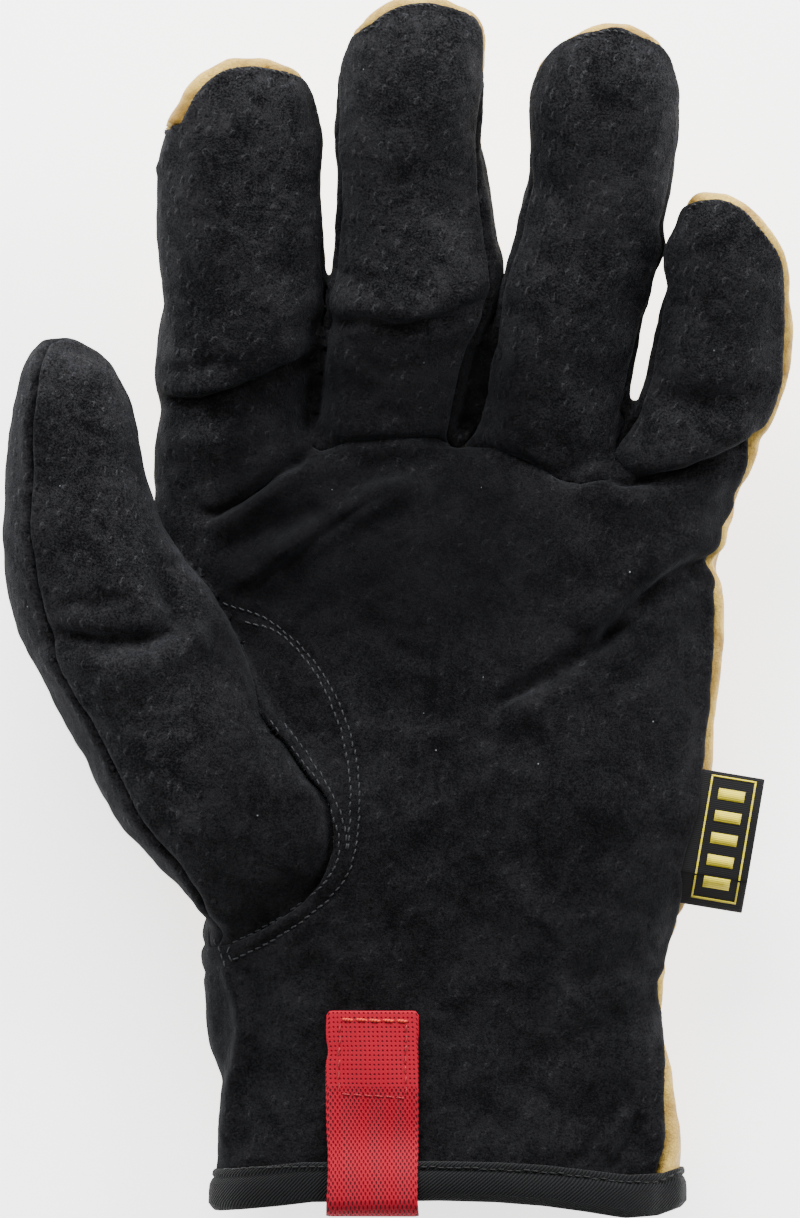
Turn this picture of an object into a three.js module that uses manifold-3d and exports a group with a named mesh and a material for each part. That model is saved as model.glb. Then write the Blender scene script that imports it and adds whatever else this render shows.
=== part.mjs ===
// A leather driver glove for the left hand, lying on its back with the palm up.
// It is sewn from a dark suede palm, two separate finger fronts, three fourchettes and a two-part thumb
// over a tan leather back, with a bound hem, a webbing pull loop and a woven side label.
// Millimetres: +X runs towards the little finger, +Y towards the fingertips and +Z out of the palm.
// The origin is on the flat of the back of the hand, where the glove rests.
import * as THREE from 'three';
import { mergeVertices } from 'three/addons/utils/BufferGeometryUtils.js';
import Module from 'manifold-3d';

const wasm = await Module();
wasm.setup();

// Materials' thicknesses, and the gap kept between neighbouring pieces
const leather = 1.8;
const tape = 1.2;
const webbing = 1.5;
const labelCloth = 1.0;
const clearance = 0.3;

// Cuts leave out slivers thinner than this
const cutTolerance = 0.02;

// The hand: from the hem to the roots of the fingers, and its three girths
const handLength = 161;
const hemY = -87;
const cuffWidth = 98;
const cuffDepth = 29;
const wristWidth = 96;
const wristDepth = 31;
const palmDepth = 38;
const rootSkew = 0.1; // the finger roots run back by this share of the way across, towards the little finger

// The fingers, side by side from the index finger's axis
const indexAxisX = -42;
const fingerRootY = 60;
const fingerGap = 1.8;
const rootHeight = 19;
const indexFinger = { length: 91, width: 34, depth: 26, lean: 0, rise: 33 };
const middleFinger = { length: 103, width: 33, depth: 27, lean: 4, rise: 38 };
const ringFinger = { length: 98.5, width: 32, depth: 26, lean: 10, rise: 42 };
const littleFinger = { length: 64.6, width: 31, depth: 24, lean: 10, rise: 29 };

// The thumb, from its lower end at the palm
const thumb = { length: 127, width: 40, depth: 30, lean: -18, rise: 14 };
const thumbRootX = -38.8;
const thumbRootY = -34.6;
const thumbHeight = 23;

// The fourchettes: they narrow over the last part of the finger and stop short of where they would vanish
const fourchetteWidth = 11;
const fourchetteEnd = 0.84;
const fourchetteTaper = 0.3;
const fourchetteTip = 0.72;
const crotchDepth = 10;

// The sewn-on pieces
const bindingWidth = 8.4;
const pullWidth = 19;
const pullLength = 38.8;
const pullCentreX = -14;
const pullInsideLength = 22;
const pullSlack = 2;
const labelLength = 28.4;
const labelReach = 12.2;
const labelTopY = 2.4;
const labelTilt = 10;
const labelSunk = 4.6; // how far its root goes in from the hand's widest line, to the inside of the wall

// The distance between the places where the seams are laid out, how far beside a finger's wall its seam goes on
// level and how wide that level strip is, and how many flats go round each tube
const seamStep = 8;
const besideWall = 0.5;
const wallBand = 12;
const handSides = 28;
const fingerSides = 16;
const fingerInnerSides = 12;
const thumbSides = 20;
const thumbInnerSides = 14;

// Sections of the hand from the hem up. left and right are shares of the girth that the row names in "of",
// measured from x = 0, low and high are shares of its depth above the resting plane.
const handSections = [
  { along: 0.0, of: 'cuff', left: -0.484, right: 0.522, low: 0.055, high: 1.0 },
  { along: 0.06, of: 'cuff', left: -0.484, right: 0.522, low: 0.055, high: 1.0 },
  { along: 0.13, of: 'cuff', left: -0.478, right: 0.496, low: -0.03, high: 1.02 },
  { along: 0.2, of: 'wrist', left: -0.506, right: 0.486, low: -0.09, high: 0.98 },
  { along: 0.3, of: 'wrist', left: -0.52, right: 0.495, low: -0.12, high: 1.04 },
  { along: 0.39, of: 'palm', left: -0.41, right: 0.423, low: -0.08, high: 0.93 },
  { along: 0.51, of: 'palm', left: -0.402, right: 0.453, low: -0.08, high: 1.0 },
  { along: 0.64, of: 'palm', left: -0.41, right: 0.474, low: -0.08, high: 0.97 },
  { along: 0.77, of: 'palm', left: -0.446, right: 0.482, low: -0.07, high: 0.95 },
  { along: 0.85, of: 'palm', left: -0.48, right: 0.494, low: -0.02, high: 0.96 },
  { along: 0.92, of: 'palm', left: -0.485, right: 0.508, low: 0.08, high: 0.94 },
  { along: 0.965, of: 'palm', left: -0.45, right: 0.48, low: 0.19, high: 0.86 },
  { along: 1.0, of: 'palm', left: -0.4, right: 0.43, low: 0.32, high: 0.68 },
];

// The seam at the roots of the middle and ring fingers: x as a share of the palm's width, y as a share of
// the hand's length
const rootSeam = [
  { x: -0.5, y: 0.977 },
  { x: 0.04, y: 0.98 },
  { x: 0.11, y: 0.963 },
  { x: 0.24, y: 0.925 },
  { x: 0.5, y: 0.93 },
];

// Sections of a finger from its root to its tip. left and right are shares of its width from its leaning axis,
// deep is a share of its depth.
const indexSections = [
  { along: -0.15, left: -0.4, right: 0.36, deep: 0.7 },
  { along: 0.03, left: -0.535, right: 0.42, deep: 0.98 },
  { along: 0.14, left: -0.52, right: 0.4, deep: 1.02 },
  { along: 0.19, left: -0.465, right: 0.395, deep: 0.9 },
  { along: 0.26, left: -0.505, right: 0.43, deep: 0.97 },
  { along: 0.45, left: -0.46, right: 0.51, deep: 1.0 },
  { along: 0.72, left: -0.515, right: 0.47, deep: 0.98 },
  { along: 0.85, left: -0.455, right: 0.455, deep: 0.88 },
  { along: 0.93, left: -0.34, right: 0.415, deep: 0.69 },
  { along: 0.98, left: -0.18, right: 0.3, deep: 0.4 },
  { along: 1.0, left: -0.03, right: 0.17, deep: 0.14 },
];
const middleSections = [
  { along: -0.135, left: -0.36, right: 0.4, deep: 0.7 },
  { along: 0.03, left: -0.44, right: 0.48, deep: 0.98 },
  { along: 0.14, left: -0.47, right: 0.44, deep: 1.03 },
  { along: 0.3, left: -0.445, right: 0.51, deep: 0.9 },
  { along: 0.38, left: -0.455, right: 0.6, deep: 0.99 },
  { along: 0.45, left: -0.44, right: 0.62, deep: 1.0 },
  { along: 0.7, left: -0.45, right: 0.47, deep: 1.0 },
  { along: 0.84, left: -0.47, right: 0.42, deep: 0.91 },
  { along: 0.93, left: -0.435, right: 0.38, deep: 0.72 },
  { along: 0.98, left: -0.31, right: 0.3, deep: 0.41 },
  { along: 1.0, left: -0.16, right: 0.16, deep: 0.14 },
];
const ringSections = [
  { along: -0.13, left: -0.4, right: 0.36, deep: 0.7 },
  { along: 0.03, left: -0.42, right: 0.46, deep: 0.98 },
  { along: 0.12, left: -0.475, right: 0.52, deep: 1.04 },
  { along: 0.24, left: -0.44, right: 0.575, deep: 1.0 },
  { along: 0.52, left: -0.39, right: 0.605, deep: 1.0 },
  { along: 0.72, left: -0.385, right: 0.58, deep: 1.0 },
  { along: 0.85, left: -0.43, right: 0.515, deep: 0.92 },
  { along: 0.92, left: -0.38, right: 0.44, deep: 0.77 },
  { along: 0.965, left: -0.27, right: 0.31, deep: 0.55 },
  { along: 0.99, left: -0.12, right: 0.17, deep: 0.3 },
  { along: 1.0, left: -0.02, right: 0.08, deep: 0.14 },
];
const littleSections = [
  { along: -0.2, left: -0.4, right: 0.32, deep: 0.7 },
  { along: 0.03, left: -0.47, right: 0.41, deep: 0.98 },
  { along: 0.15, left: -0.52, right: 0.48, deep: 1.03 },
  { along: 0.21, left: -0.52, right: 0.52, deep: 1.03 },
  { along: 0.28, left: -0.465, right: 0.545, deep: 0.94 },
  { along: 0.36, left: -0.4, right: 0.57, deep: 0.98 },
  { along: 0.6, left: -0.38, right: 0.575, deep: 1.0 },
  { along: 0.8, left: -0.36, right: 0.46, deep: 0.93 },
  { along: 0.887, left: -0.335, right: 0.32, deep: 0.8 },
  { along: 0.945, left: -0.3, right: 0.17, deep: 0.58 },
  { along: 0.984, left: -0.22, right: 0.02, deep: 0.34 },
  { along: 1.0, left: -0.15, right: -0.06, deep: 0.14 },
];
const thumbSections = [
  { along: 0.0, left: -0.1, right: 0.02, deep: 0.12 },
  { along: 0.033, left: -0.24, right: 0.08, deep: 0.4 },
  { along: 0.074, left: -0.265, right: 0.31, deep: 0.7 },
  { along: 0.124, left: -0.355, right: 0.495, deep: 0.95 },
  { along: 0.18, left: -0.455, right: 0.6, deep: 1.08 },
  { along: 0.26, left: -0.54, right: 0.6, deep: 1.15 },
  { along: 0.4, left: -0.64, right: 0.44, deep: 1.14 },
  { along: 0.51, left: -0.7, right: 0.4, deep: 1.04 },
  { along: 0.6, left: -0.69, right: 0.32, deep: 0.98 },
  { along: 0.685, left: -0.62, right: 0.21, deep: 0.94 },
  { along: 0.8, left: -0.47, right: 0.25, deep: 0.88 },
  { along: 0.9, left: -0.34, right: 0.255, deep: 0.78 },
  { along: 0.955, left: -0.24, right: 0.23, deep: 0.62 },
  { along: 0.985, left: -0.16, right: 0.15, deep: 0.4 },
  { along: 1.0, left: -0.08, right: 0.07, deep: 0.14 },
];

// Where the seams lie, as shares of the depth there from the back (0) to the palm side (1)
const tipSeam = 0.62;
const tipStart = 0.84;
const tipFull = 0.9;
const middleSeam = 0.5;
const indexSideSeam = 0.24;
const littleSideSeam = 0.7;
const thumbOuterSeam = 0.86;
const thumbInnerSeam = 0.36;
const handSeams = [
  { along: 0.0, left: 0.24, right: 0.82 },
  { along: 0.13, left: 0.24, right: 0.84 },
  { along: 0.25, left: 0.26, right: 0.66 },
  { along: 0.34, left: 0.34, right: 0.72 },
  { along: 0.45, left: 0.4, right: 0.74 },
  { along: 0.7, left: 0.4, right: 0.72 },
  { along: 0.82, left: 0.28, right: 0.7 },
  { along: 1.0, left: 0.24, right: 0.7 },
];

// Suede palm, tan back, twill binding, red webbing and label cloth
const suede = { color: 0x1d1d20, roughness: 0.95, metalness: 0 };
const tanLeather = { color: 0xc29a5c, roughness: 0.7, metalness: 0 };
const twill = { color: 0x141416, roughness: 0.85, metalness: 0 };
const redWebbing = { color: 0xb5202e, roughness: 0.75, metalness: 0 };
const wovenLabel = { color: 0x121212, roughness: 0.8, metalness: 0 };

const radians = (degrees) => (degrees * Math.PI) / 180;
const mix = (a, b, share) => a + (b - a) * share;

// The value of each column of a table at a place between its rows, which hold "key" in rising order.
function lookUp(rows, key, place) {
  if (place <= rows[0][key]) return rows[0];
  const next = rows.findIndex((row) => row[key] >= place);
  if (next < 0) return rows[rows.length - 1];
  const [before, after] = [rows[next - 1], rows[next]];
  const share = (place - before[key]) / (after[key] - before[key]);
  const value = {};
  for (const column of Object.keys(after)) {
    const number = typeof after[column] === 'number';
    value[column] = number ? mix(before[column], after[column], share) : after[column];
  }
  return value;
}

// A digit's centre line climbs gently at first and more steeply towards the tip.
function climb(along) {
  const share = Math.max(along, 0);
  return 0.72 * share + 0.28 * share * share;
}

// The sections of a finger or the thumb in millimetres, its outside only.
function digitRows(digit, sections, rootX, rootY, rootZ) {
  return sections.map((row) => {
    const forward = row.along * digit.length;
    const axisX = rootX + Math.tan(radians(digit.lean)) * forward;
    const axisZ = rootZ + digit.rise * climb(row.along);
    return {
      along: row.along,
      y: rootY + forward,
      left: axisX + row.left * digit.width,
      right: axisX + row.right * digit.width,
      low: axisZ - (row.deep * digit.depth) / 2,
      high: axisZ + (row.deep * digit.depth) / 2,
      skew: 0,
    };
  });
}

// Each finger's root stands beside the one before it, so that the palm's width follows from the fingers.
const rootAlong = 0.03;
const rootShares = (sections) => lookUp(sections, 'along', rootAlong);
function besideX(x, digit, sections, nextDigit, nextSections) {
  const lean = (finger) => Math.tan(radians(finger.lean)) * rootAlong * finger.length;
  const wall = x + lean(digit) + rootShares(sections).right * digit.width;
  return wall + fingerGap - rootShares(nextSections).left * nextDigit.width - lean(nextDigit);
}
const middleAxisX = besideX(indexAxisX, indexFinger, indexSections, middleFinger, middleSections);
const ringAxisX = besideX(middleAxisX, middleFinger, middleSections, ringFinger, ringSections);
const littleAxisX = besideX(ringAxisX, ringFinger, ringSections, littleFinger, littleSections);

const indexRows = digitRows(indexFinger, indexSections, indexAxisX, fingerRootY, rootHeight);
const middleRows = digitRows(middleFinger, middleSections, middleAxisX, fingerRootY, rootHeight);
const ringRows = digitRows(ringFinger, ringSections, ringAxisX, fingerRootY, rootHeight);
const littleRows = digitRows(littleFinger, littleSections, littleAxisX, fingerRootY, rootHeight);
const thumbRows = digitRows(thumb, thumbSections, thumbRootX, thumbRootY, thumbHeight);
const fingerRows = [indexRows, middleRows, ringRows, littleRows];

// The palm is as wide as the four finger roots together.
const rootLeft = lookUp(indexRows, 'along', rootAlong).left;
const rootRight = lookUp(littleRows, 'along', rootAlong).right;
const palmWidth = rootRight - rootLeft;
const girths = {
  cuff: { width: cuffWidth, depth: cuffDepth },
  wrist: { width: wristWidth, depth: wristDepth },
  palm: { width: palmWidth, depth: palmDepth },
};
const handRows = handSections.map((row) => {
  const { width, depth } = girths[row.of];
  return {
    along: row.along,
    y: hemY + row.along * handLength,
    left: row.left * width,
    right: row.right * width,
    low: row.low * depth,
    high: row.high * depth,
    skew: row.along > 0.9 ? rootSkew : 0,
  };
});

// Rows moved outwards by a distance, or inwards if it is negative. The tip moves with it and the root stays.
function grow(rows, distance) {
  const least = 0.4;
  return rows.map((row) => {
    const middle = (row.left + row.right) / 2;
    const waist = (row.low + row.high) / 2;
    const half = Math.max((row.right - row.left) / 2 + distance, least);
    const rise = Math.max((row.high - row.low) / 2 + distance, least);
    return {
      ...row,
      y: row.y + distance * Math.max(row.along, 0),
      left: middle - half,
      right: middle + half,
      low: waist - rise,
      high: waist + rise,
    };
  });
}

// One ring of a tube: a rounded oval, squarer than an ellipse.
function ring(row, sides, squareness) {
  const middle = (row.left + row.right) / 2;
  const waist = (row.low + row.high) / 2;
  const power = (value) => Math.sign(value) * Math.abs(value) ** (2 / squareness);
  return Array.from({ length: sides }, (_, i) => {
    const angle = (2 * Math.PI * i) / sides;
    const across = (power(Math.cos(angle)) * (row.right - row.left)) / 2;
    const up = (power(Math.sin(angle)) * (row.high - row.low)) / 2;
    return [middle + across, row.y - row.skew * across, waist + up];
  });
}

function solid(positions, triangles) {
  const mesh = new wasm.Mesh({
    numProp: 3,
    vertProperties: new Float32Array(positions.flat()),
    triVerts: new Uint32Array(triangles.flat()),
  });
  return new wasm.Manifold(mesh).setTolerance(cutTolerance);
}

const meanOf = (points, axis) => points.reduce((sum, point) => sum + point[axis], 0) / points.length;
const centreOf = (points) => [0, 1, 2].map((axis) => meanOf(points, axis));

// A closed solid through rings of equal counts, each wound anticlockwise as seen from the first ring's side.
function loft(rings) {
  const sides = rings[0].length;
  const last = (rings.length - 1) * sides;
  const start = rings.length * sides;
  const triangles = [];
  for (let j = 0; j < sides; j += 1) {
    const k = (j + 1) % sides;
    for (let i = 0; i < last; i += sides) {
      triangles.push([i + j, i + sides + j, i + sides + k], [i + j, i + sides + k, i + k]);
    }
    triangles.push([start, j, k], [start + 1, last + k, last + j]);
  }
  return solid([...rings.flat(), centreOf(rings[0]), centreOf(rings[rings.length - 1])], triangles);
}

const squareHand = 2.6;
const squareFinger = 2.3;
const tube = (rows, sides, squareness) => loft(rows.map((row) => ring(row, sides, squareness)));
const fingerTube = (rows, distance, sides = fingerSides) => tube(grow(rows, distance), sides, squareFinger);
const thumbTube = (distance, sides = thumbSides) => tube(grow(thumbRows, distance), sides, squareFinger);

// The hand's tube, lengthened past the hem where something has to be open there.
function handTube(distance, pastHem = 0) {
  const rows = grow(handRows, distance);
  rows[0].y -= pastHem;
  return tube(rows, handSides, squareHand);
}

// A block between two corners, used to cut.
function block(low, high) {
  const corners = (x) => [
    [x, low[1], low[2]],
    [x, high[1], low[2]],
    [x, high[1], high[2]],
    [x, low[1], high[2]],
  ];
  return loft([corners(low[0]).reverse(), corners(high[0]).reverse()]);
}
const far = 300;
const above = (z) => block([-far, -far, z], [far, far, far]);

const join = (...solids) => wasm.Manifold.union(solids);

// The joined outsides of the hand and its fingers, and the hollow that the hand goes into. Both are flat
// underneath, where the glove rests.
const mouth = 8;
const outside = join(handTube(0), ...fingerRows.map((rows) => fingerTube(rows, 0))).intersect(above(0));
const innerFingers = fingerRows.map((rows) => fingerTube(rows, -leather, fingerInnerSides));
const innerTubes = [handTube(-leather, mouth), ...innerFingers, thumbTube(-leather, thumbInnerSides)];
const hollow = join(...innerTubes).intersect(
  above(leather),
);
const handShell = outside.subtract(hollow).subtract(thumbTube(clearance));
const thumbShell = thumbTube(0).subtract(hollow);

// Height of a seam at a share of a section's depth
const heightAt = (row, share) => mix(row.low, row.high, share);

// Seam of a finger's side at a place along it. It runs to the height of the tip's seam near the tip, and a
// fourchette holds its two edges apart. edge is 1 for the palm side's edge and -1 for the back's, and inset
// moves that edge in to make the fourchette itself.
function fingerSeam(rows, y, sideShare, hasFourchette, edge, inset) {
  const along = (y - fingerRootY) / (rows[rows.length - 1].y - fingerRootY);
  const toTip = THREE.MathUtils.clamp((along - tipStart) / (tipFull - tipStart), 0, 1);
  const spread = THREE.MathUtils.clamp((fourchetteEnd - along) / fourchetteTaper, 0, 1);
  const rooted = THREE.MathUtils.clamp((y - fingerRootY + 2 * crotchDepth) / crotchDepth, 0, 1);
  const half = hasFourchette ? (fourchetteWidth / 2) * Math.min(spread, rooted) : 0;
  const height = heightAt(lookUp(rows, 'y', y), mix(sideShare, tipSeam, toTip));
  return height + edge * (Math.max(half, clearance / 2) - inset);
}

// Points of the seam surface across the hand at one place along it. Below the fingers, the outermost points
// follow the hand's own sides, and the surface runs level through both outer walls.
function seamAcross(y, edge, inset) {
  const points = [];
  fingerRows.forEach((rows, i) => {
    const row = lookUp(rows, 'y', Math.max(y, fingerRootY));
    const first = i === 0;
    const last = i === fingerRows.length - 1;
    const leftZ = fingerSeam(rows, y, first ? indexSideSeam : middleSeam, !first, edge, inset);
    const rightZ = fingerSeam(rows, y, last ? littleSideSeam : middleSeam, !last, edge, inset);
    points.push([row.left - besideWall, y, leftZ], [row.right + besideWall, y, rightZ]);
  });
  const ends = [points.shift(), points.pop()];
  if (y < fingerRootY) {
    const row = lookUp(handRows, 'y', y);
    const seam = lookUp(handSeams, 'along', (y - hemY) / handLength);
    const shift = edge * (clearance / 2 - inset);
    ends[0] = [row.left, y, heightAt(row, seam.left) + shift];
    ends[1] = [row.right, y, heightAt(row, seam.right) + shift];
  }
  for (let i = 1; i < points.length; i += 1) {
    points[i][0] = Math.max(points[i][0], points[i - 1][0] + 0.1);
  }
  const [[leftX, , leftZ], [rightX, , rightZ]] = ends;
  return [
    [-far, y, leftZ],
    [leftX + wallBand, y, leftZ],
    ...points,
    [rightX - wallBand, y, rightZ],
    [far, y, rightZ],
  ];
}

// Everything above a surface given as rows of points across, which is carried on past both ends
function aboveSurface(rows) {
  const before = rows[0].map(([x, , z]) => [x, -far, z]);
  const after = rows[rows.length - 1].map(([x, , z]) => [x, far, z]);
  const close = (points) => {
    const first = points[0];
    const last = points[points.length - 1];
    return [...points, [last[0], last[1], far], [first[0], first[1], far]];
  };
  return loft([before, ...rows, after].map(close));
}

const seamPlaces = [];
for (let y = hemY; y < fingerRootY + middleFinger.length; y += seamStep) seamPlaces.push(y);
const aboveSeams = (edge, inset = 0) => aboveSurface(seamPlaces.map((y) => seamAcross(y, edge, inset)));

// A flat region seen from above, with its corners wound anticlockwise
const plan = (corners, low = -far, high = far) =>
  loft([high, low].map((z) => corners.map(([x, y]) => [x, y, z])));
const beyond = (y) => plan([[-far, y], [far, y], [far, far], [-far, far]]);

// The side label, folded into the seam of the little finger's side. It stands out of the wall at its own slant.
function sideLabel(distance) {
  const tilt = radians(labelTilt);
  const top = lookUp(handRows, 'y', labelTopY);
  const seamShare = (y) => lookUp(handSeams, 'along', (y - hemY) / handLength).right;
  const seamZ = (y) => heightAt(lookUp(handRows, 'y', y), seamShare(y));
  const startX = top.right - labelSunk;
  const corner = (down, out) => {
    const x = startX - Math.sin(tilt) * down + Math.cos(tilt) * out;
    const y = labelTopY - Math.cos(tilt) * down - Math.sin(tilt) * out;
    const rootSide = labelTopY - Math.cos(tilt) * down;
    return [x, y, seamZ(rootSide)];
  };
  const near = -distance;
  const reach = labelSunk + labelReach;
  const corners = [
    corner(near, near),
    corner(labelLength - near, near),
    corner(labelLength - near, reach - near),
    corner(near, reach - near),
  ];
  const half = labelCloth / 2 + distance;
  return loft([half, -half].map((up) => corners.map(([x, y, z]) => [x, y, z + up])));
}

// The largest body of a solid, without the crumbs that cutting leaves
const mainBody = (whole) => whole.decompose().reduce((a, b) => (a.volume() > b.volume() ? a : b));

// Palm side and back, with the thumb's hole and the label's slot
const labelSlot = sideLabel(clearance);
const palmShell = handShell.intersect(aboveSeams(1)).subtract(labelSlot);
const backShell = handShell.subtract(aboveSeams(-1)).subtract(labelSlot);

// The middle and ring fingers' fronts come off the palm along their root seam.
const rootRegion = (shift) => {
  const seam = rootSeam.map((point) => [point.x * palmWidth, hemY + point.y * handLength + shift]);
  return plan([...seam, [far, far], [-far, far]]);
};
const besideFinger = 0.4;
const frontRegion = rootRegion(clearance / 2);
const fingerFront = (rows) => palmShell.intersect(fingerTube(rows, besideFinger)).intersect(frontRegion);
const frontCut = join(...[middleRows, ringRows].map((rows) => fingerTube(rows, besideFinger + clearance)));
const palmPanel = palmShell.subtract(frontCut.intersect(rootRegion(-clearance / 2)));

// A fourchette joins the facing sides of two neighbouring fingers, from just short of one tip, down round the
// crotch and up to just short of the other.
const wallShell = handShell.subtract(aboveSeams(1, clearance)).intersect(aboveSeams(-1, clearance));
const middleX = (rows, y) => {
  const row = lookUp(rows, 'y', y);
  return (row.left + row.right) / 2;
};
function fourchette(rows, nextRows) {
  const start = fingerRootY - crotchDepth;
  const end = fingerRootY + middleFinger.length;
  const between = plan([
    [middleX(rows, start), start],
    [middleX(nextRows, start), start],
    [middleX(nextRows, end), end],
    [middleX(rows, end), end],
  ]);
  const ends = [rows, nextRows].map((side) => {
    const lastY = mix(fingerRootY, side[side.length - 1].y, fourchetteTip);
    return fingerTube(side, besideFinger).intersect(beyond(lastY));
  });
  return wallShell.intersect(between).subtract(join(...ends));
}

// Everything above the seam between the thumb's two halves
function aboveThumbSeam(edge) {
  const rows = thumbRows.map((row) => {
    const outer = heightAt(row, thumbOuterSeam) + (edge * clearance) / 2;
    const inner = heightAt(row, thumbInnerSeam) + (edge * clearance) / 2;
    return [
      [-far, row.y, outer],
      [row.left, row.y, outer],
      [row.right, row.y, inner],
      [far, row.y, inner],
    ];
  });
  return aboveSurface(rows);
}

// The binding is folded round the hem: outside, under and inside.
const bindingLow = hemY - clearance - tape;
const bindingBand = beyond(bindingLow).subtract(beyond(bindingLow + bindingWidth));
const bindingInside = handTube(-leather - clearance - tape, mouth + 1);
const bindingOutside = handTube(clearance + tape, mouth).subtract(bindingInside);
const hemLeather = handTube(clearance, mouth).subtract(handTube(-leather - clearance, mouth + 1));
const bindingSlot = hemLeather.intersect(beyond(hemY - clearance));
const binding = bindingOutside.intersect(bindingBand).subtract(bindingSlot);

// Height of the hand's palm side at a point, at a distance out from it
function palmHeight(x, y, distance) {
  const [row] = grow([lookUp(handRows, 'y', y)], distance);
  const across = (2 * x - row.left - row.right) / (row.right - row.left);
  const up = (1 - Math.abs(across) ** squareHand) ** (1 / squareHand);
  return mix(row.low, row.high, 0.5 + up / 2);
}

// The pull loop lies on the palm, goes over the binding, round the hem and back inside the cuff.
function pullLoop() {
  const pullTopY = hemY + pullLength;
  const stepY = bindingLow + bindingWidth;
  const overBinding = clearance + tape + clearance;
  const legPlaces = [
    { y: bindingLow, gap: overBinding },
    { y: stepY + 0.6, gap: overBinding },
    { y: stepY + 2.6, gap: clearance },
  ];
  const flatPlaces = [mix(stepY, pullTopY, 0.55), pullTopY].map((y) => ({ y, gap: clearance }));
  const outside = [...legPlaces, ...flatPlaces];
  const inside = [...legPlaces, { y: hemY + pullInsideLength, gap: clearance }];
  const columns = Array.from({ length: 5 }, (_, i) => pullCentreX + (i / 4 - 0.5) * pullWidth);
  const band = (near, away) => [...columns.map(away), ...columns.map(near).reverse()];
  const outsideRing = ({ y, gap }) =>
    band(
      (x) => [x, y, palmHeight(x, y, 0) + gap],
      (x) => [x, y, palmHeight(x, y, 0) + gap + webbing],
    );
  const insideRing = ({ y, gap }) =>
    band(
      (x) => [x, y, palmHeight(x, y, -leather) - gap],
      (x) => [x, y, palmHeight(x, y, -leather) - gap - webbing],
    );
  const turn = [1, 2, 3].map((quarter) => {
    const angle = (quarter * Math.PI) / 4;
    const at = (out) => (x) => {
      const top = palmHeight(x, hemY, 0);
      const bottom = palmHeight(x, hemY, -leather);
      const rise = (top - bottom) / 2 + overBinding + out;
      const y = bindingLow - Math.sin(angle) * (pullSlack + out);
      return [x, y, (top + bottom) / 2 + Math.cos(angle) * rise];
    };
    return band(at(0), at(webbing));
  });
  return loft([...outside.reverse().map(outsideRing), ...turn, ...inside.map(insideRing)]);
}

function meshOf(manifold, material, name) {
  const { vertProperties, triVerts } = manifold.getMesh();
  const geometry = new THREE.BufferGeometry();
  geometry.setAttribute('position', new THREE.BufferAttribute(new Float32Array(vertProperties), 3));
  geometry.setIndex(new THREE.BufferAttribute(new Uint32Array(triVerts), 1));
  const mesh = new THREE.Mesh(mergeVertices(geometry, 1e-4), new THREE.MeshStandardMaterial(material));
  mesh.name = name;
  return mesh;
}

const glove = new THREE.Group();
const addPiece = (name, manifold, material) => glove.add(meshOf(mainBody(manifold), material, name));
addPiece('palm_panel', palmPanel, suede);
addPiece('middle_finger_front', fingerFront(middleRows), suede);
addPiece('ring_finger_front', fingerFront(ringRows), suede);
addPiece('fourchette_index_middle', fourchette(indexRows, middleRows), suede);
addPiece('fourchette_middle_ring', fourchette(middleRows, ringRows), suede);
addPiece('fourchette_ring_little', fourchette(ringRows, littleRows), suede);
addPiece('thumb_front', thumbShell.intersect(aboveThumbSeam(1)), suede);
addPiece('thumb_back', thumbShell.subtract(aboveThumbSeam(-1)), suede);
addPiece('back_panel', backShell, tanLeather);
addPiece('cuff_binding', binding, twill);
addPiece('pull_tab', pullLoop(), redWebbing);
addPiece('side_label', sideLabel(0), wovenLabel);

export default glove;
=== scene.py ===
import math

import bmesh
import bpy
import numpy as np
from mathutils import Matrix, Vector, noise
from mathutils.bvhtree import BVHTree


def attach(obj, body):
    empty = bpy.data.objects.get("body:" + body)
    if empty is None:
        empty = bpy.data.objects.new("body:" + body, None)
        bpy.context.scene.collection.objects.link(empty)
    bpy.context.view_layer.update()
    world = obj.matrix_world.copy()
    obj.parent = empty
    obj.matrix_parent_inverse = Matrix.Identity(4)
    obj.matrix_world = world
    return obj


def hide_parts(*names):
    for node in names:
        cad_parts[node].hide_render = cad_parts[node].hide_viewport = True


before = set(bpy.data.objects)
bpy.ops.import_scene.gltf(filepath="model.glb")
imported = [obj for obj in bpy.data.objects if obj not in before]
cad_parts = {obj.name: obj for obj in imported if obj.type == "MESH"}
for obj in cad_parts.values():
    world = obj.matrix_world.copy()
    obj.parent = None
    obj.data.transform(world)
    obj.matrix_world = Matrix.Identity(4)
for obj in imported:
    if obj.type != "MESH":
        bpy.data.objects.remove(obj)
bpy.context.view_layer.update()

mm = 0.001
skin = {
    "voxel": 0.85,        # mm between the points of the skin
    "leather": 1.3,      # mm, thickness of the panels
    "keptOnBack": 0.72,  # share of the back's triangles
    "handSquareness": 2.6,
    "fingerSquareness": 2.3,
    "smoothing": 10,     # rounds of smoothing that blend the tubes into each other
    "corner": (217, 930), "cornerReach": 18, "cornerSmoothing": 140,  # where the thumb's root meets the wrist
}
view = {"millimetresPerPixel": 0.2096, "originPixel": (440, 780), "pixels": (800, 1218), "distance": 6.0}


def spot(pixel):  # a place on the palm side, from the front view's pixels to millimetres
    scale = view["millimetresPerPixel"]
    return ((pixel[0] - view["originPixel"][0]) * scale, (view["originPixel"][1] - pixel[1]) * scale)


def smoothStep(value, low, high):
    share = np.clip((value - low) / (high - low), 0, 1)
    return share * share * (3 - 2 * share)


# tubes: one for the hand, one for each finger and one for the thumb

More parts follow.
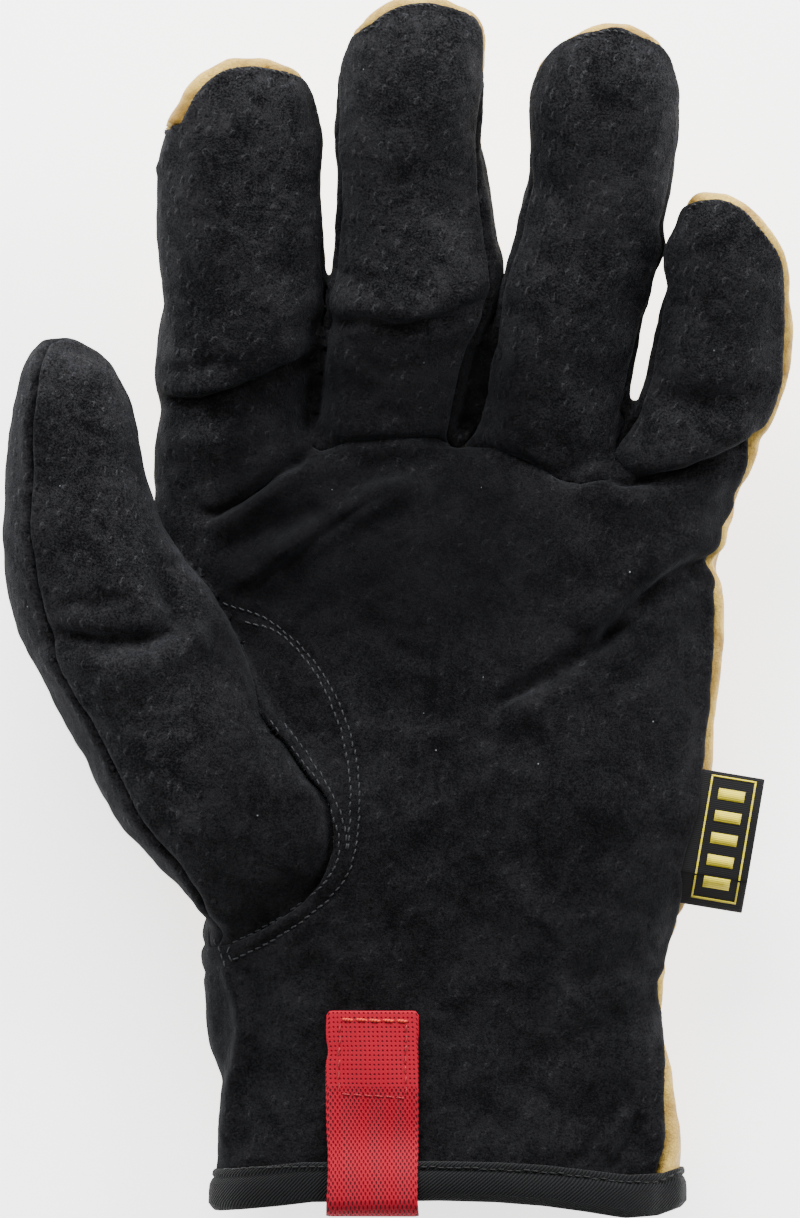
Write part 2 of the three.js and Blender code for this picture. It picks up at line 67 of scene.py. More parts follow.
hand = {
    "length": 161, "hem": -87, "cuff": (98, 29), "wrist": (96, 31), "palm": (123.6, 38), "skew": 0.1,
    "sections": [  # along, girth, left, right, low, high
        (-0.04, "cuff", -0.478, 0.516, 0.055, 1.0),
        (0.06, "cuff", -0.474, 0.518, 0.055, 1.0),
        (0.13, "cuff", -0.468, 0.496, -0.03, 1.02),
        (0.20, "wrist", -0.508, 0.474, -0.09, 0.98),
        (0.30, "wrist", -0.53, 0.478, -0.12, 1.04),
        (0.39, "palm", -0.41, 0.419, -0.08, 0.93),
        (0.51, "palm", -0.402, 0.453, -0.08, 1.0),
        (0.64, "palm", -0.41, 0.474, -0.08, 0.97),
        (0.765, "palm", -0.444, 0.494, -0.07, 0.95),
        (0.81, "palm", -0.462, 0.476, -0.05, 0.955),
        (0.85, "palm", -0.48, 0.494, -0.02, 0.96),
        (0.92, "palm", -0.485, 0.5, 0.08, 0.94),
        (0.965, "palm", -0.45, 0.48, 0.19, 0.86),
        (1.0, "palm", -0.4, 0.43, 0.32, 0.68),
    ],
}
digits = {
    "index": {  # length, width and depth; lean in degrees; rise of the tip; x, y and z of the root
        "size": (90.2, 34, 26), "lean": 0, "rise": 33, "root": (-42, 60, 19),
        "sections": [  # along, left, right, deep
            (-0.15, -0.4, 0.36, 0.7), (0.03, -0.535, 0.43, 0.98), (0.14, -0.505, 0.425, 1.02),
            (0.19, -0.45, 0.425, 0.9), (0.26, -0.49, 0.445, 0.97), (0.45, -0.445, 0.52, 1.0),
            (0.72, -0.5, 0.505, 0.98), (0.85, -0.44, 0.485, 0.88), (0.93, -0.32, 0.44, 0.69),
            (0.98, -0.17, 0.31, 0.4), (1.0, -0.03, 0.17, 0.14),
        ],
    },
    "middle": {
        "size": (102.6, 33, 27), "lean": 4, "rise": 38, "root": (-11.6, 60, 19),
        "sections": [
            (-0.135, -0.36, 0.4, 0.7), (0.03, -0.45, 0.48, 0.98), (0.14, -0.485, 0.44, 1.03),
            (0.22, -0.475, 0.47, 0.96), (0.30, -0.455, 0.51, 0.9), (0.38, -0.455, 0.6, 0.99),
            (0.43, -0.425, 0.62, 1.0), (0.48, -0.405, 0.61, 1.0), (0.55, -0.425, 0.56, 1.0),
            (0.70, -0.45, 0.485, 1.0), (0.84, -0.46, 0.45, 0.91), (0.93, -0.41, 0.415, 0.72),
            (0.98, -0.3, 0.33, 0.41), (1.0, -0.16, 0.16, 0.14),
        ],
    },
    "ring": {
        "size": (98.2, 32, 26), "lean": 10, "rise": 42, "root": (19.2, 60, 19),
        "sections": [
            (-0.13, -0.4, 0.36, 0.7), (0.03, -0.42, 0.45, 0.98), (0.12, -0.475, 0.5, 1.04),
            (0.24, -0.44, 0.525, 1.0), (0.36, -0.415, 0.54, 1.0), (0.43, -0.4, 0.548, 1.0),
            (0.52, -0.39, 0.55, 1.0), (0.62, -0.395, 0.55, 1.0), (0.73, -0.405, 0.54, 1.0),
            (0.85, -0.465, 0.495, 0.92), (0.92, -0.43, 0.42, 0.77),
            (0.965, -0.33, 0.31, 0.55), (0.99, -0.2, 0.2, 0.33), (1.0, -0.09, 0.1, 0.16),
        ],
    },
    "little": {
        "size": (61.8, 31, 24), "lean": 10, "rise": 29, "root": (50.4, 60, 19),
        "sections": [
            (-0.2, -0.4, 0.32, 0.7), (0.03, -0.47, 0.37, 0.98), (0.15, -0.5, 0.48, 1.03),
            (0.21, -0.45, 0.5, 1.03), (0.28, -0.4, 0.52, 0.94), (0.36, -0.38, 0.54, 0.98),
            (0.45, -0.375, 0.55, 1.0), (0.55, -0.365, 0.55, 1.0), (0.65, -0.355, 0.52, 1.0),
            (0.75, -0.355, 0.465, 0.97), (0.83, -0.365, 0.39, 0.9), (0.9, -0.355, 0.27, 0.78),
            (0.955, -0.33, 0.13, 0.55), (0.985, -0.29, 0.02, 0.34), (1.0, -0.24, -0.05, 0.14),
        ],
    },
    "thumb": {
        "size": (127, 40, 30), "lean": -18, "rise": 14, "root": (-38.8, -34.6, 23),
        "sections": [
            (0.0, -0.1, 0.02, 0.12), (0.033, -0.24, 0.16, 0.4), (0.074, -0.265, 0.44, 0.7),
            (0.124, -0.355, 0.63, 0.95), (0.18, -0.455, 0.74, 1.08), (0.26, -0.54, 0.74, 1.15),
            (0.40, -0.65, 0.5, 1.14), (0.51, -0.71, 0.41, 1.04), (0.60, -0.695, 0.32, 0.98),
            (0.685, -0.62, 0.21, 0.94), (0.80, -0.47, 0.25, 0.88), (0.90, -0.33, 0.255, 0.78),
            (0.955, -0.225, 0.23, 0.62), (0.985, -0.15, 0.15, 0.4), (1.0, -0.08, 0.07, 0.14),
        ],
    },
}
# the fourchettes' cloth fills the crotch between two fingers up to topY
webs = {"width": 4.4, "depth": 8.5, "fromY": 52, "topY": {"index": 97.5, "middle": 97.0, "ring": 79.5}}
fingerNames = ["index", "middle", "ring", "little"]


def hump(distance, wide, power=2):  # one at no distance, and soft round it
    return np.exp(-((distance / wide) ** power))


def noiseAt(points, size=1.0, shift=(0, 0, 0)):
    return np.array([noise.noise(Vector(point) / size + Vector(shift)) for point in points])


def rowAt(name, y):  # left, right, low and high of a tube
    return [np.interp(y, rowsOf[name][:, 0], rowsOf[name][:, column]) for column in range(1, 5)]


def gridFaces(rings, sides, start=0, ringsClosed=False, sidesClosed=False, turned=False):  # between rings of points
    faces = []
    for ring in range(rings if ringsClosed else rings - 1):
        for side in range(sides if sidesClosed else sides - 1):
            beyond = (side + 1) % sides
            low, high = start + ring * sides, start + (ring + 1) % rings * sides
            face = (low + side, high + side, high + beyond, low + beyond)
            faces.append((face[0], face[3], face[2], face[1]) if turned else face)
    return faces


def climb(along):  # a digit's centre line climbs gently at first and more steeply towards the tip
    share = max(along, 0)
    return 0.72 * share + 0.28 * share * share


def eased(rows, step=1.0, reach=2.2):  # rows of y, left, right, low, high, laid out closely and rounded off
    rows = np.array(rows)
    places = np.linspace(rows[0, 0], rows[-1, 0], int((rows[-1, 0] - rows[0, 0]) / step) + 1)
    kernel = np.exp(-0.5 * (np.arange(-8, 9) * step / reach) ** 2)
    kernel /= kernel.sum()
    columns = [places]
    for column in range(1, 5):
        values = np.interp(places, rows[:, 0], rows[:, column])
        padded = np.pad(values, 8, mode="reflect", reflect_type="odd")
        columns.append(np.convolve(padded, kernel, mode="valid"))
    return np.array(columns).T


def digitRows(digit):
    length, width, depth = digit["size"]
    rootX, rootY, rootZ = digit["root"]
    rows = []
    for along, left, right, deep in digit["sections"]:
        forward = along * length
        axisX = rootX + math.tan(math.radians(digit["lean"])) * forward
        axisZ = rootZ + digit["rise"] * climb(along)
        half = deep * depth / 2
        rows.append((rootY + forward, axisX + left * width, axisX + right * width, axisZ - half, axisZ + half))
    return eased(rows)


def handRows():
    rows = []
    for along, girth, left, right, low, high in hand["sections"]:
        width, depth = hand[girth]
        rows.append((hand["hem"] + along * hand["length"], left * width, right * width, low * depth, high * depth))
    return eased(rows)


rowsOf = {name: digitRows(digit) for name, digit in digits.items()}
rowsOf["hand"] = handRows()


def webRows(first, second):  # a narrow flat tube from the palm up between two fingers
    rows = []
    top = webs["topY"][first]
    for y in np.linspace(webs["fromY"], top, 24):
        firstRow, secondRow = rowAt(first, y), rowAt(second, y)
        centre = (firstRow[1] + secondRow[0]) / 2
        level = (firstRow[2] + firstRow[3] + secondRow[2] + secondRow[3]) / 4
        deep = webs["depth"] / 2 * min(1, math.sqrt(max(top - y, 0) / 5) + 0.15)
        rows.append((y, centre - webs["width"] / 2, centre + webs["width"] / 2, level - deep, level + deep))
    return np.array(rows)


for firstFinger, secondFinger in zip(fingerNames[:-1], fingerNames[1:]):
    rowsOf["web" + secondFinger.capitalize()] = webRows(firstFinger, secondFinger)


def tube(rows, squareness, sides=72, skew=0.0):  # rings of a rounded oval, closed at both ends
    angles = np.arange(sides) * 2 * math.pi / sides
    shape = lambda wave: np.sign(wave) * np.abs(wave) ** (2 / squareness)
    across, up = shape(np.cos(angles)), shape(np.sin(angles))
    points = []
    for y, left, right, low, high in rows:
        x = (right - left) / 2 * across
        slant = skew * smoothStep(y, hand["hem"] + 0.88 * hand["length"], hand["hem"] + hand["length"])
        ring = np.stack([(left + right) / 2 + x, y - slant * x, (low + high) / 2 + (high - low) / 2 * up], 1)
        points.extend(ring)
    caps = [tuple(range(sides)), tuple(reversed(range(len(points) - sides, len(points))))]
    return np.array(points), gridFaces(len(rows), sides, sidesClosed=True) + caps


def tubeDistance(name, points):  # about how far points are outside a tube, in millimetres
    rows = rowsOf[name]
    squareness = skin["handSquareness"] if name == "hand" else skin["fingerSquareness"]
    y = points[:, 1]
    left, right, low, high = rowAt(name, y)
    half, rise = np.maximum((right - left) / 2, 0.5), np.maximum((high - low) / 2, 0.5)
    across = np.abs(points[:, 0] - (left + right) / 2) / half
    up = np.abs(points[:, 2] - (low + high) / 2) / rise
    reach = (across**squareness + up**squareness) ** (1 / squareness)
    distance = (reach - 1) * np.minimum(half, rise)
    return np.maximum(distance, np.maximum(rows[0, 0] - y, y - rows[-1, 0]))


def meshFrom(name, points, faces):
    mesh = bpy.data.meshes.new(name)
    mesh.from_pydata([tuple(p) for p in np.asarray(points) * mm], [], [tuple(int(i) for i in f) for f in faces])
    mesh.validate()
    mesh.update()
    return mesh


def weldedSkin():  # all the tubes as one skin, with its points and its four-sided faces
    allPoints, allFaces = [], []
    for name, rows in rowsOf.items():
        squareness = skin["handSquareness"] if name == "hand" else skin["fingerSquareness"]
        points, faces = tube(rows, squareness, 120 if name == "hand" else 72, hand["skew"] if name == "hand" else 0)
        start = len(allPoints)
        allPoints.extend(points)
        allFaces.extend(tuple(i + start for i in face) for face in faces)
    piece = bpy.data.objects.new("skin", meshFrom("skin", allPoints, allFaces))
    bpy.context.scene.collection.objects.link(piece)
    weld = piece.modifiers.new("weld", "REMESH")
    weld.mode = "VOXEL"
    weld.voxel_size = skin["voxel"] * mm
    depsgraph = bpy.context.evaluated_depsgraph_get()
    welded = bpy.data.meshes.new_from_object(piece.evaluated_get(depsgraph))
    bpy.data.objects.remove(piece)
    points = np.empty(len(welded.vertices) * 3)
    welded.vertices.foreach_get("co", points)
    faces = np.array([tuple(polygon.vertices) for polygon in welded.polygons if len(polygon.vertices) == 4])
    bpy.data.meshes.remove(welded)
    return points.reshape(-1, 3) / mm, faces


def edgesOf(faces):
    pairs = np.concatenate([faces[:, [i, (i + 1) % faces.shape[1]]] for i in range(faces.shape[1])])
    return np.unique(np.sort(pairs, axis=1), axis=0)


def neighbourMean(points, edges):
    count = len(points)
    total = np.zeros_like(points)
    for axis in range(points.shape[1]):
        total[:, axis] = np.bincount(edges[:, 0], points[edges[:, 1], axis], count)
        total[:, axis] += np.bincount(edges[:, 1], points[edges[:, 0], axis], count)
    degree = np.bincount(edges.ravel(), minlength=count)
    return total / np.maximum(degree, 1)[:, None]


def smoothed(points, edges, rounds, weights=1.0):  # smoothing that keeps the volume
    weights = np.broadcast_to(weights, len(points))[:, None]
    for _ in range(rounds):
        for pull in (0.55, -0.52):
            points = points + pull * weights * (neighbourMean(points, edges) - points)
    return points


def normalsOf(points, faces):
    corners = points[faces]
    flat = np.cross(corners[:, 2] - corners[:, 0], corners[:, 3] - corners[:, 1])
    normals = np.zeros_like(points)
    for axis in range(3):
        normals[:, axis] = np.bincount(faces.ravel(), np.repeat(flat[:, axis], 4), len(points))
    return normals / np.maximum(np.linalg.norm(normals, axis=1), 1e-9)[:, None]


points, faces = weldedSkin()
edges = edgesOf(faces)
points = smoothed(points, edges, skin["smoothing"])
cornerX, cornerY = spot(skin["corner"])
nearCorner = smoothStep(skin["cornerReach"] - np.hypot(points[:, 0] - cornerX, points[:, 1] - cornerY), 0, 6)
points = smoothed(points, edges, skin["cornerSmoothing"], nearCorner)
print("skin welded:", len(points), "points")

# seams: their heights across the hand, and how far each point is from them

seams = {
    # share of the depth on the left and right sides, where it starts to climb, where it has, and the tip's
    "fingers": {
        "index": ((0.24, 0.828, 0.85, 0.8), (0.38, 0.95, 0.98, 0.78)),
        "middle": ((0.46, 0.925, 0.955, 0.78), (0.56, 0.96, 1.0, 0.74)),
        "ring": ((0.46, 0.955, 0.985, 0.76), (0.46, 0.95, 0.975, 0.76)),
        "little": ((0.46, 0.955, 0.985, 0.78), (0.7, 0.78, 0.9, 0.8)),
    },
    "tipReach": 3.6,  # mm from the tip, where the seam keeps its height
    "fourchette": 11, "fourchetteEnd": 0.93, "fourchetteTaper": 0.36, "crotch": 10,
    "thumbOuter": (0.88, 1.04), "thumbInner": 0.36,  # at the root and at the tip
    "hand": [  # along, left, right: shares of the depth from the back
        (-0.04, 0.24, 0.82), (0.03, 0.24, 0.78), (0.075, 0.24, 0.73), (0.115, 0.24, 0.7), (0.14, 0.24, 0.68),
        (0.166, 0.24, 0.64), (0.195, 0.24, 0.57), (0.228, 0.25, 0.44), (0.255, 0.26, 0.58), (0.28, 0.27, 0.62),
        (0.31, 0.3, 0.46), (0.36, 0.34, 0.5), (0.42, 0.38, 0.68), (0.57, 0.4, 0.63), (0.69, 0.4, 0.68),
        (0.785, 0.31, 0.69), (0.811, 0.29, 0.6), (0.84, 0.27, 0.68), (0.872, 0.26, 0.66), (0.9, 0.25, 0.48),
        (0.95, 0.24, 0.5), (1.0, 0.24, 0.55),
    ],
    "root": [  # the seam under the middle and ring fingers, in the front view's pixels
        (290, 440), (312, 443), (320, 447), (345, 445), (400, 441), (463, 441), (475, 444), (500, 453),
        (530, 465), (560, 478), (580, 484), (600, 481), (640, 478),
    ],
}


def seamHeights(points):  # the seam's height under or over each point, and half the fourchette's width there
    x, y = points[:, 0], points[:, 1]
    rootY = 60
    columns, heights, halves = [], [], []
    for name in fingerNames:
        rows = rowsOf[name]
        left, right, low, high = rowAt(name, np.clip(y, rootY, rows[-1, 0] - seams["tipReach"]))
        along = (y - rootY) / (rows[-1, 0] - rootY)
        spread = np.clip((seams["fourchetteEnd"] - along) / seams["fourchetteTaper"], 0, 1)
        rooted = np.clip((y - rootY + 2 * seams["crotch"]) / seams["crotch"], 0, 1)
        for side, wall in (("left", left), ("right", right)):
            outer = (name == "index" and side == "left") or (name == "little" and side == "right")
            share, start, full, tip = seams["fingers"][name][side == "right"]
            share = share + (tip - share) * np.clip((along - start) / (full - start), 0, 1)
            heights.append(low + (high - low) * share)
            halves.append(np.zeros_like(y) if outer else seams["fourchette"] / 2 * np.minimum(spread, rooted))
            columns.append(wall)
    left, right, low, high = rowAt("hand", y)
    table = np.array(seams["hand"])
    along = (y - hand["hem"]) / hand["length"]
    onHand = 1 - smoothStep(y, rootY - 6, rootY + 6)
    for column, wall, side in ((0, left, 1), (7, right, 2)):
        level = low + (high - low) * np.interp(along, table[:, 0], table[:, side])
        heights[column] = heights[column] + (level - heights[column]) * onHand
        columns[column] = columns[column] + (wall - columns[column]) * onHand
    columns[0], columns[7] = columns[0] + 9, columns[7] - 9
    columns, heights, halves = np.array(columns), np.array(heights), np.array(halves)
    for i in range(1, 8):
        columns[i] = np.maximum(columns[i], columns[i - 1] + 0.1)
    height, half = heights[0].copy(), halves[0].copy()
    for i in range(1, 8):
        share = np.clip((x - columns[i - 1]) / (columns[i] - columns[i - 1]), 0, 1)
        past = x > columns[i - 1]
        height = np.where(past, heights[i - 1] + (heights[i] - heights[i - 1]) * share, height)
        half = np.where(past, halves[i - 1] + (halves[i] - halves[i - 1]) * share, half)
    return height, half


def thumbSeamHeight(points):
    left, right, low, high = rowAt("thumb", points[:, 1])
    share = np.clip((points[:, 0] - left) / np.maximum(right - left, 1), 0, 1)
    atRoot, atTip = seams["thumbOuter"]
    outer = atRoot + (atTip - atRoot) * smoothStep(points[:, 1], 18, 48)
    return low + (high - low) * (outer + (seams["thumbInner"] - outer) * share)


def pathDistance(points, path):  # signed distance in plan from a path (above a path that runs right is positive)
    path = np.array([spot(pixel) for pixel in path])
    flat = points[:, :2]
    best = np.full(len(points), 1e9)
    signed, along = np.zeros(len(points)), np.zeros(len(points))
    lengths = np.linalg.norm(np.diff(path, axis=0), axis=1)
    total, done = lengths.sum(), 0.0
    for start, end, length in zip(path[:-1], path[1:], lengths):
        direction = (end - start) / length
        offset = flat - start
        reach = np.clip(offset @ direction, 0, length)
        away = offset - reach[:, None] * direction
        distance = np.linalg.norm(away, axis=1)
        side = direction[0] * offset[:, 1] - direction[1] * offset[:, 0]
        closer = distance < best
        best = np.where(closer, distance, best)
        signed = np.where(closer, np.where(side > 0, distance, -distance), signed)
        along = np.where(closer, (done + reach) / total, along)
        done += length
    return signed, along


# the palm's opening for the thumb, in the front view's pixels, and how its folded edge lies over the thumb
thumbHole = {
    "path": [(150, 470), (200, 590), (240, 660), (262, 712), (298, 756), (328, 800), (334, 840), (322, 882),
             (300, 906), (262, 930), (232, 944), (200, 950)],
    "belowY": 24,        # mm, the opening follows the path from here down
    "lift": 0.8, "liftWidth": 2.4, "sink": 1.1, "sinkWidth": 2.4, "under": 4.2,
    "hidden": 1.3,       # mm that the border lies up the thumb's side where the thumb hides it
}


def fieldsOf(points, normals):  # what each point belongs to: positive values are inside each region
    seamHeight, half = seamHeights(points)
    toHand = np.min([tubeDistance(name, points) for name in rowsOf if name != "thumb"], axis=0)
    thumb = toHand - tubeDistance("thumb", points)
    signed, _ = pathDistance(points, thumbHole["path"])
    onPath = smoothStep(normals[:, 2], 0.1, 0.55) * smoothStep(thumbHole["belowY"] - points[:, 1], 0, 12)
    onPath = onPath * smoothStep(12 - np.abs(signed), 0, 4)
    thumb = (thumb - thumbHole["hidden"]) * (1 - onPath) - signed * onPath
    rootPath = np.array([spot(pixel) for pixel in seams["root"]])
    rootLine = np.interp(points[:, 0], rootPath[:, 0], rootPath[:, 1])
    walls = [rowAt(name, np.maximum(points[:, 1], 62)) for name in fingerNames]
    lines = [(left[1] + right[0]) / 2 for left, right in zip(walls[:-1], walls[1:])]
    lines += [(left + right) / 2 for left, right, _, _ in walls[1:3]]
    names = ("pastIndex", "pastMiddle", "pastRing", "rightOfMiddle", "rightOfRing")
    return {
        "thumb": thumb,
        "lapped": onPath,
        "palm": points[:, 2] - seamHeight - half,
        "back": seamHeight - half - points[:, 2],
        "thumbFront": points[:, 2] - thumbSeamHeight(points),
        "root": points[:, 1] - rootLine,
        **{name: points[:, 0] - line for name, line in zip(names, lines)},
    }


def hemWave(x):  # the hem doesn't run straight: it hangs lower at both ends
    places = [-54, -47, -42, -35, -28, 0, 12, 22, 32, 40, 46, 51, 56]
    drops = [-0.6, -2.0, -1.6, -0.9, 0.0, 0.3, 0.0, -0.8, -2.2, -3.4, -3.0, -1.2, -0.2]
    return np.interp(x, places, drops)


# creases and folds, drawn on the front view: deep and wide give the valley, above and below the ridges
# beside it, and over how far the upper side hangs over the lower one

creases = [  # deep, wide, above, below, over, path
    # index
    (2.3, 2.0, 1.2, 0.3, 1.5, [(150, 397), (163, 398), (200, 399), (240, 388), (270, 377), (322, 350)]),
    (0.8, 1.7, 0.4, 0.3, 0.3, [(156, 372), (185, 374), (215, 366), (245, 368)]),
    (0.7, 2.2, 0.3, 0.4, 0, [(160, 420), (195, 425), (235, 418), (262, 402)]),
    (-0.7, 1.1, -0.3, 0, 0, [(156, 178), (164, 166), (178, 118)]),
    # middle finger
    (2.1, 2.1, 1.1, 0.2, 1.1, [(322, 322), (365, 320), (385, 325), (405, 328), (440, 320), (497, 296)]),
    (0.6, 1.8, 0.2, 0.3, 0, [(335, 345), (365, 342), (400, 346)]),
    (0.7, 2.0, 0.3, 0.2, 0.2, [(420, 300), (455, 296), (480, 280)]),
    # ring finger: a soft ridge down its left side
    (-0.6, 1.8, 0, 0, 0, [(540, 120), (533, 190), (522, 250), (505, 320)]),
    (-0.4, 2.2, 0, 0, 0, [(655, 110), (650, 190), (640, 270)]),
    # little finger
    (1.0, 2.6, 0.5, 0.4, 0.3, [(655, 395), (700, 405), (745, 390), (770, 372)]),
    (3.0, 2.2, 1.5, 0.6, 1.7, [(600, 481), (616, 477), (650, 476), (682, 471), (716, 460), (740, 448), (770, 426)]),
    # thumb
    (2.7, 2.4, 0.2, 1.4, -0.8, [(40, 628), (70, 638), (110, 644), (150, 643), (172, 632), (196, 608)]),
    (2.6, 4.0, 0.2, 0.9, 0, [(165, 556), (170, 590), (186, 622)]),
    (0.7, 2.0, 0.3, 0.3, 0, [(60, 600), (95, 608), (130, 600)]),
    (-0.9, 3.2, -0.2, -0.3, 0, [(90, 690), (130, 680), (180, 650), (215, 640)]),
    # palm
    (2.5, 1.6, 1.1, 1.4, 1.5, [(200, 520), (240, 498), (275, 472), (314, 449)]),
    (1.3, 2.6, 0.3, 0.9, 0, [(205, 560), (260, 535), (330, 508)]),
    (1.1, 1.3, 0.9, 0, 0.5, [(236, 600), (293, 556), (340, 522), (396, 488)]),
    (-1.5, 3.2, -0.4, -0.9, 0, [(225, 598), (300, 540), (360, 508), (430, 476)]),
    (-0.9, 2.2, -0.5, -0.5, 0, [(345, 524), (380, 497), (420, 480)]),
    (2.1, 2.2, 0.3, 1.4, -0.9, [(480, 712), (520, 694), (560, 672), (600, 647), (642, 620)]),
    (3.2, 2.9, 1.4, 0.3, 1.2, [(584, 652), (622, 618), (648, 592), (684, 570), (732, 554)]),
    (1.0, 3.6, 0.3, 0.5, 0, [(380, 830), (400, 800), (450, 760), (500, 728)]),
    (0.8, 4.2, 0.3, 0.4, 0, [(560, 520), (620, 540), (690, 530)]),
    # wrist
    (0.7, 3.0, 0.3, 0.3, 0, [(350, 620), (390, 640), (430, 668)]),
    (-1.7, 1.7, -0.7, -0.3, 0, [(226, 948), (230, 975), (239, 1000), (243, 1030), (238, 1060), (231, 1090),
        (226, 1160)]),
    (1.3, 1.5, 0.7, 0.4, 0, [(643, 1112), (630, 1140), (608, 1172)]),
    # the ring and little fingers bulge towards each other
    (1.1, 1.7, 0.5, 0.4, 0, [(618, 1100), (600, 1135), (578, 1168)]),
    # round the thumb's opening
    (-2.3, 3.3, 0, 0, 0, [(668, 225), (661, 260), (652, 300), (643, 345), (628, 415)]),
    (0.55, 0.8, 0.15, 0.25, 0, [(360, 815), (354, 866), (338, 891), (300, 922), (240, 958)]),
    # the cuff
    (0.5, 0.8, 0.15, 0.2, 0, [(222, 606), (262, 618), (294, 640), (325, 675), (345, 715), (356, 760), (360, 810)]),
    (0.8, 3.4, 0.2, 0.3, 0, [(300, 960), (330, 985), (345, 1020)]),
    (1.1, 2.8, 0.4, 0.4, 0, [(560, 985), (610, 970), (660, 940)]),
    (0.9, 3.6, 0.3, 0.3, 0, [(520, 1060), (590, 1040), (650, 1000)]),
    (0.8, 2.6, 0.3, 0.3, 0, [(640, 1040), (630, 1100), (640, 1165)]),
]


def creased(points, normals):
    facing = smoothStep(normals[:, 2], -0.35, 0.25)
    uneven = noiseAt(points, 7.0)
    for deep, wide, above, below, over, pixels in creases:
        signed, along = pathDistance(points, pixels)
        fade = smoothStep(along, 0.0, 0.14) * smoothStep(1 - along, 0.0, 0.14) * (1 + 0.5 * uneven)
        ridges = above * hump(signed - 1.9 * wide, 1.3 * wide) + below * hump(signed + 1.9 * wide, 1.3 * wide)
        points = points + normals * ((ridges - deep * hump(signed, wide)) * fade * facing)[:, None]
        if over:
            run = np.subtract(spot(pixels[-1]), spot(pixels[0]))
            run /= np.linalg.norm(run)
            slide = over * hump(signed - np.sign(over) * 1.2 * wide, 1.1 * wide) * fade * facing
            points[:, 0] += slide * run[1]
            points[:, 1] -= slide * run[0]
    return points


def rumpled(points, normals, size, height, seed):  # soft unevenness of the hide, the same in each run
    waves = noiseAt(points, size, (seed * 17.3, seed * 5.1, seed * 9.7))
    return points + normals * (waves * height)[:, None]


# the elastic sewn inside the back gathers the wrist
elastic = {"rows": (-28.5, -34.5, -40.5), "reach": 8.0, "draw": 0.9, "ripple": 0.75, "pitch": 6.2}


def gathered(points, normals):
    x, y = points[:, 0], points[:, 1]
    onBack = smoothStep(-normals[:, 2], -0.35, 0.25) * smoothStep(58 - np.abs(x), 0, 10)
    middleY = sum(elastic["rows"]) / len(elastic["rows"])
    near = hump(y - middleY, 1.3 * elastic["reach"], 4) * onBack
    wander = noiseAt(np.stack([x / 9, y / 16, np.full(len(x), 3.1)], 1))
    ripple = np.sin(2 * math.pi * x / elastic["pitch"] + 3.2 * wander) * elastic["ripple"]
    pinches = np.minimum(sum(hump(y - row, 1.1) for row in elastic["rows"]), 1)
    shift = ripple * (1 - 0.7 * pinches) - elastic["draw"] * (0.4 + 0.6 * pinches)
    return points + normals * (shift * near)[:, None]


normals = normalsOf(points, faces)
fields = fieldsOf(points, normals)  # taken on the even skin, so that the seams run smoothly
for _ in range(8):
    fields["thumb"] = neighbourMean(fields["thumb"][:, None], edges)[:, 0]
points = rumpled(points, normals, 30.0, 2.0, 1)
points = rumpled(points, normals, 10.0, 0.9, 2)
normals = normalsOf(points, faces)
points = creased(points, normals)
points = gathered(points, normals)
points = smoothed(points, edges, 2)
normals = normalsOf(points, faces)
points = rumpled(points, normals, 3.6, 0.22, 3)
rest = 0.1 + 0.9 * smoothStep(-points[:, 1], 74, 80)  # the floor's level, and the binding's below the hem
sunk = points[:, 2] - rest - 0.9
points[:, 2] = np.where(sunk < 0, rest + 0.9 * np.exp(np.minimum(sunk, 0)), points[:, 2])
normals = normalsOf(points, faces)
fields["hem"] = points[:, 1] - hand["hem"] - hemWave(points[:, 0])
for axis, letter in enumerate("XYZ"):
    fields["normal" + letter] = normals[:, axis]
print("creases pressed in")

# seams drawn in: both edges of a turned seam roll inwards

seamRoll = {"deep": 0.9, "wide": 0.75, "swell": 0.3, "swellAt": 2.4, "swellWidth": 2.0}
steepness = np.maximum(np.sqrt(np.maximum(1 - fields["normalZ"] ** 2, 0)), 0.3)
thumbSide = smoothStep(fields["thumb"], -0.3, 0.8)
onFronts = smoothStep(fields["pastIndex"], -1, 1) * smoothStep(-fields["pastRing"], -1, 1)
onFronts = onFronts * smoothStep(fields["normalZ"], -0.1, 0.3)
seamLines = [  # distance from the seam, and where it runs
    (fields["palm"] / steepness, 1 - thumbSide),
    (fields["back"] / steepness, 1 - thumbSide),
    (fields["root"], onFronts * (1 - thumbSide)),
    (fields["thumbFront"] / steepness, thumbSide),
]
for index, (distance, where) in enumerate(seamLines):
    swell = seamRoll["swell"] * hump(np.abs(distance) - seamRoll["swellAt"], seamRoll["swellWidth"])
    points = points + normals * (swell * where)[:, None]
    fields["seam" + str(index)] = distance
    fields["seamOn" + str(index)] = where
print("seams drawn in")

# panels: the skin is cut along the seams


def trimmed(shape):
    used, triangles = np.unique(shape["triangles"], return_inverse=True)
    return {
        "points": shape["points"][used],
        "triangles": triangles.reshape(-1, 3),
        "fields": {name: field[used] for name, field in shape["fields"].items()},
    }


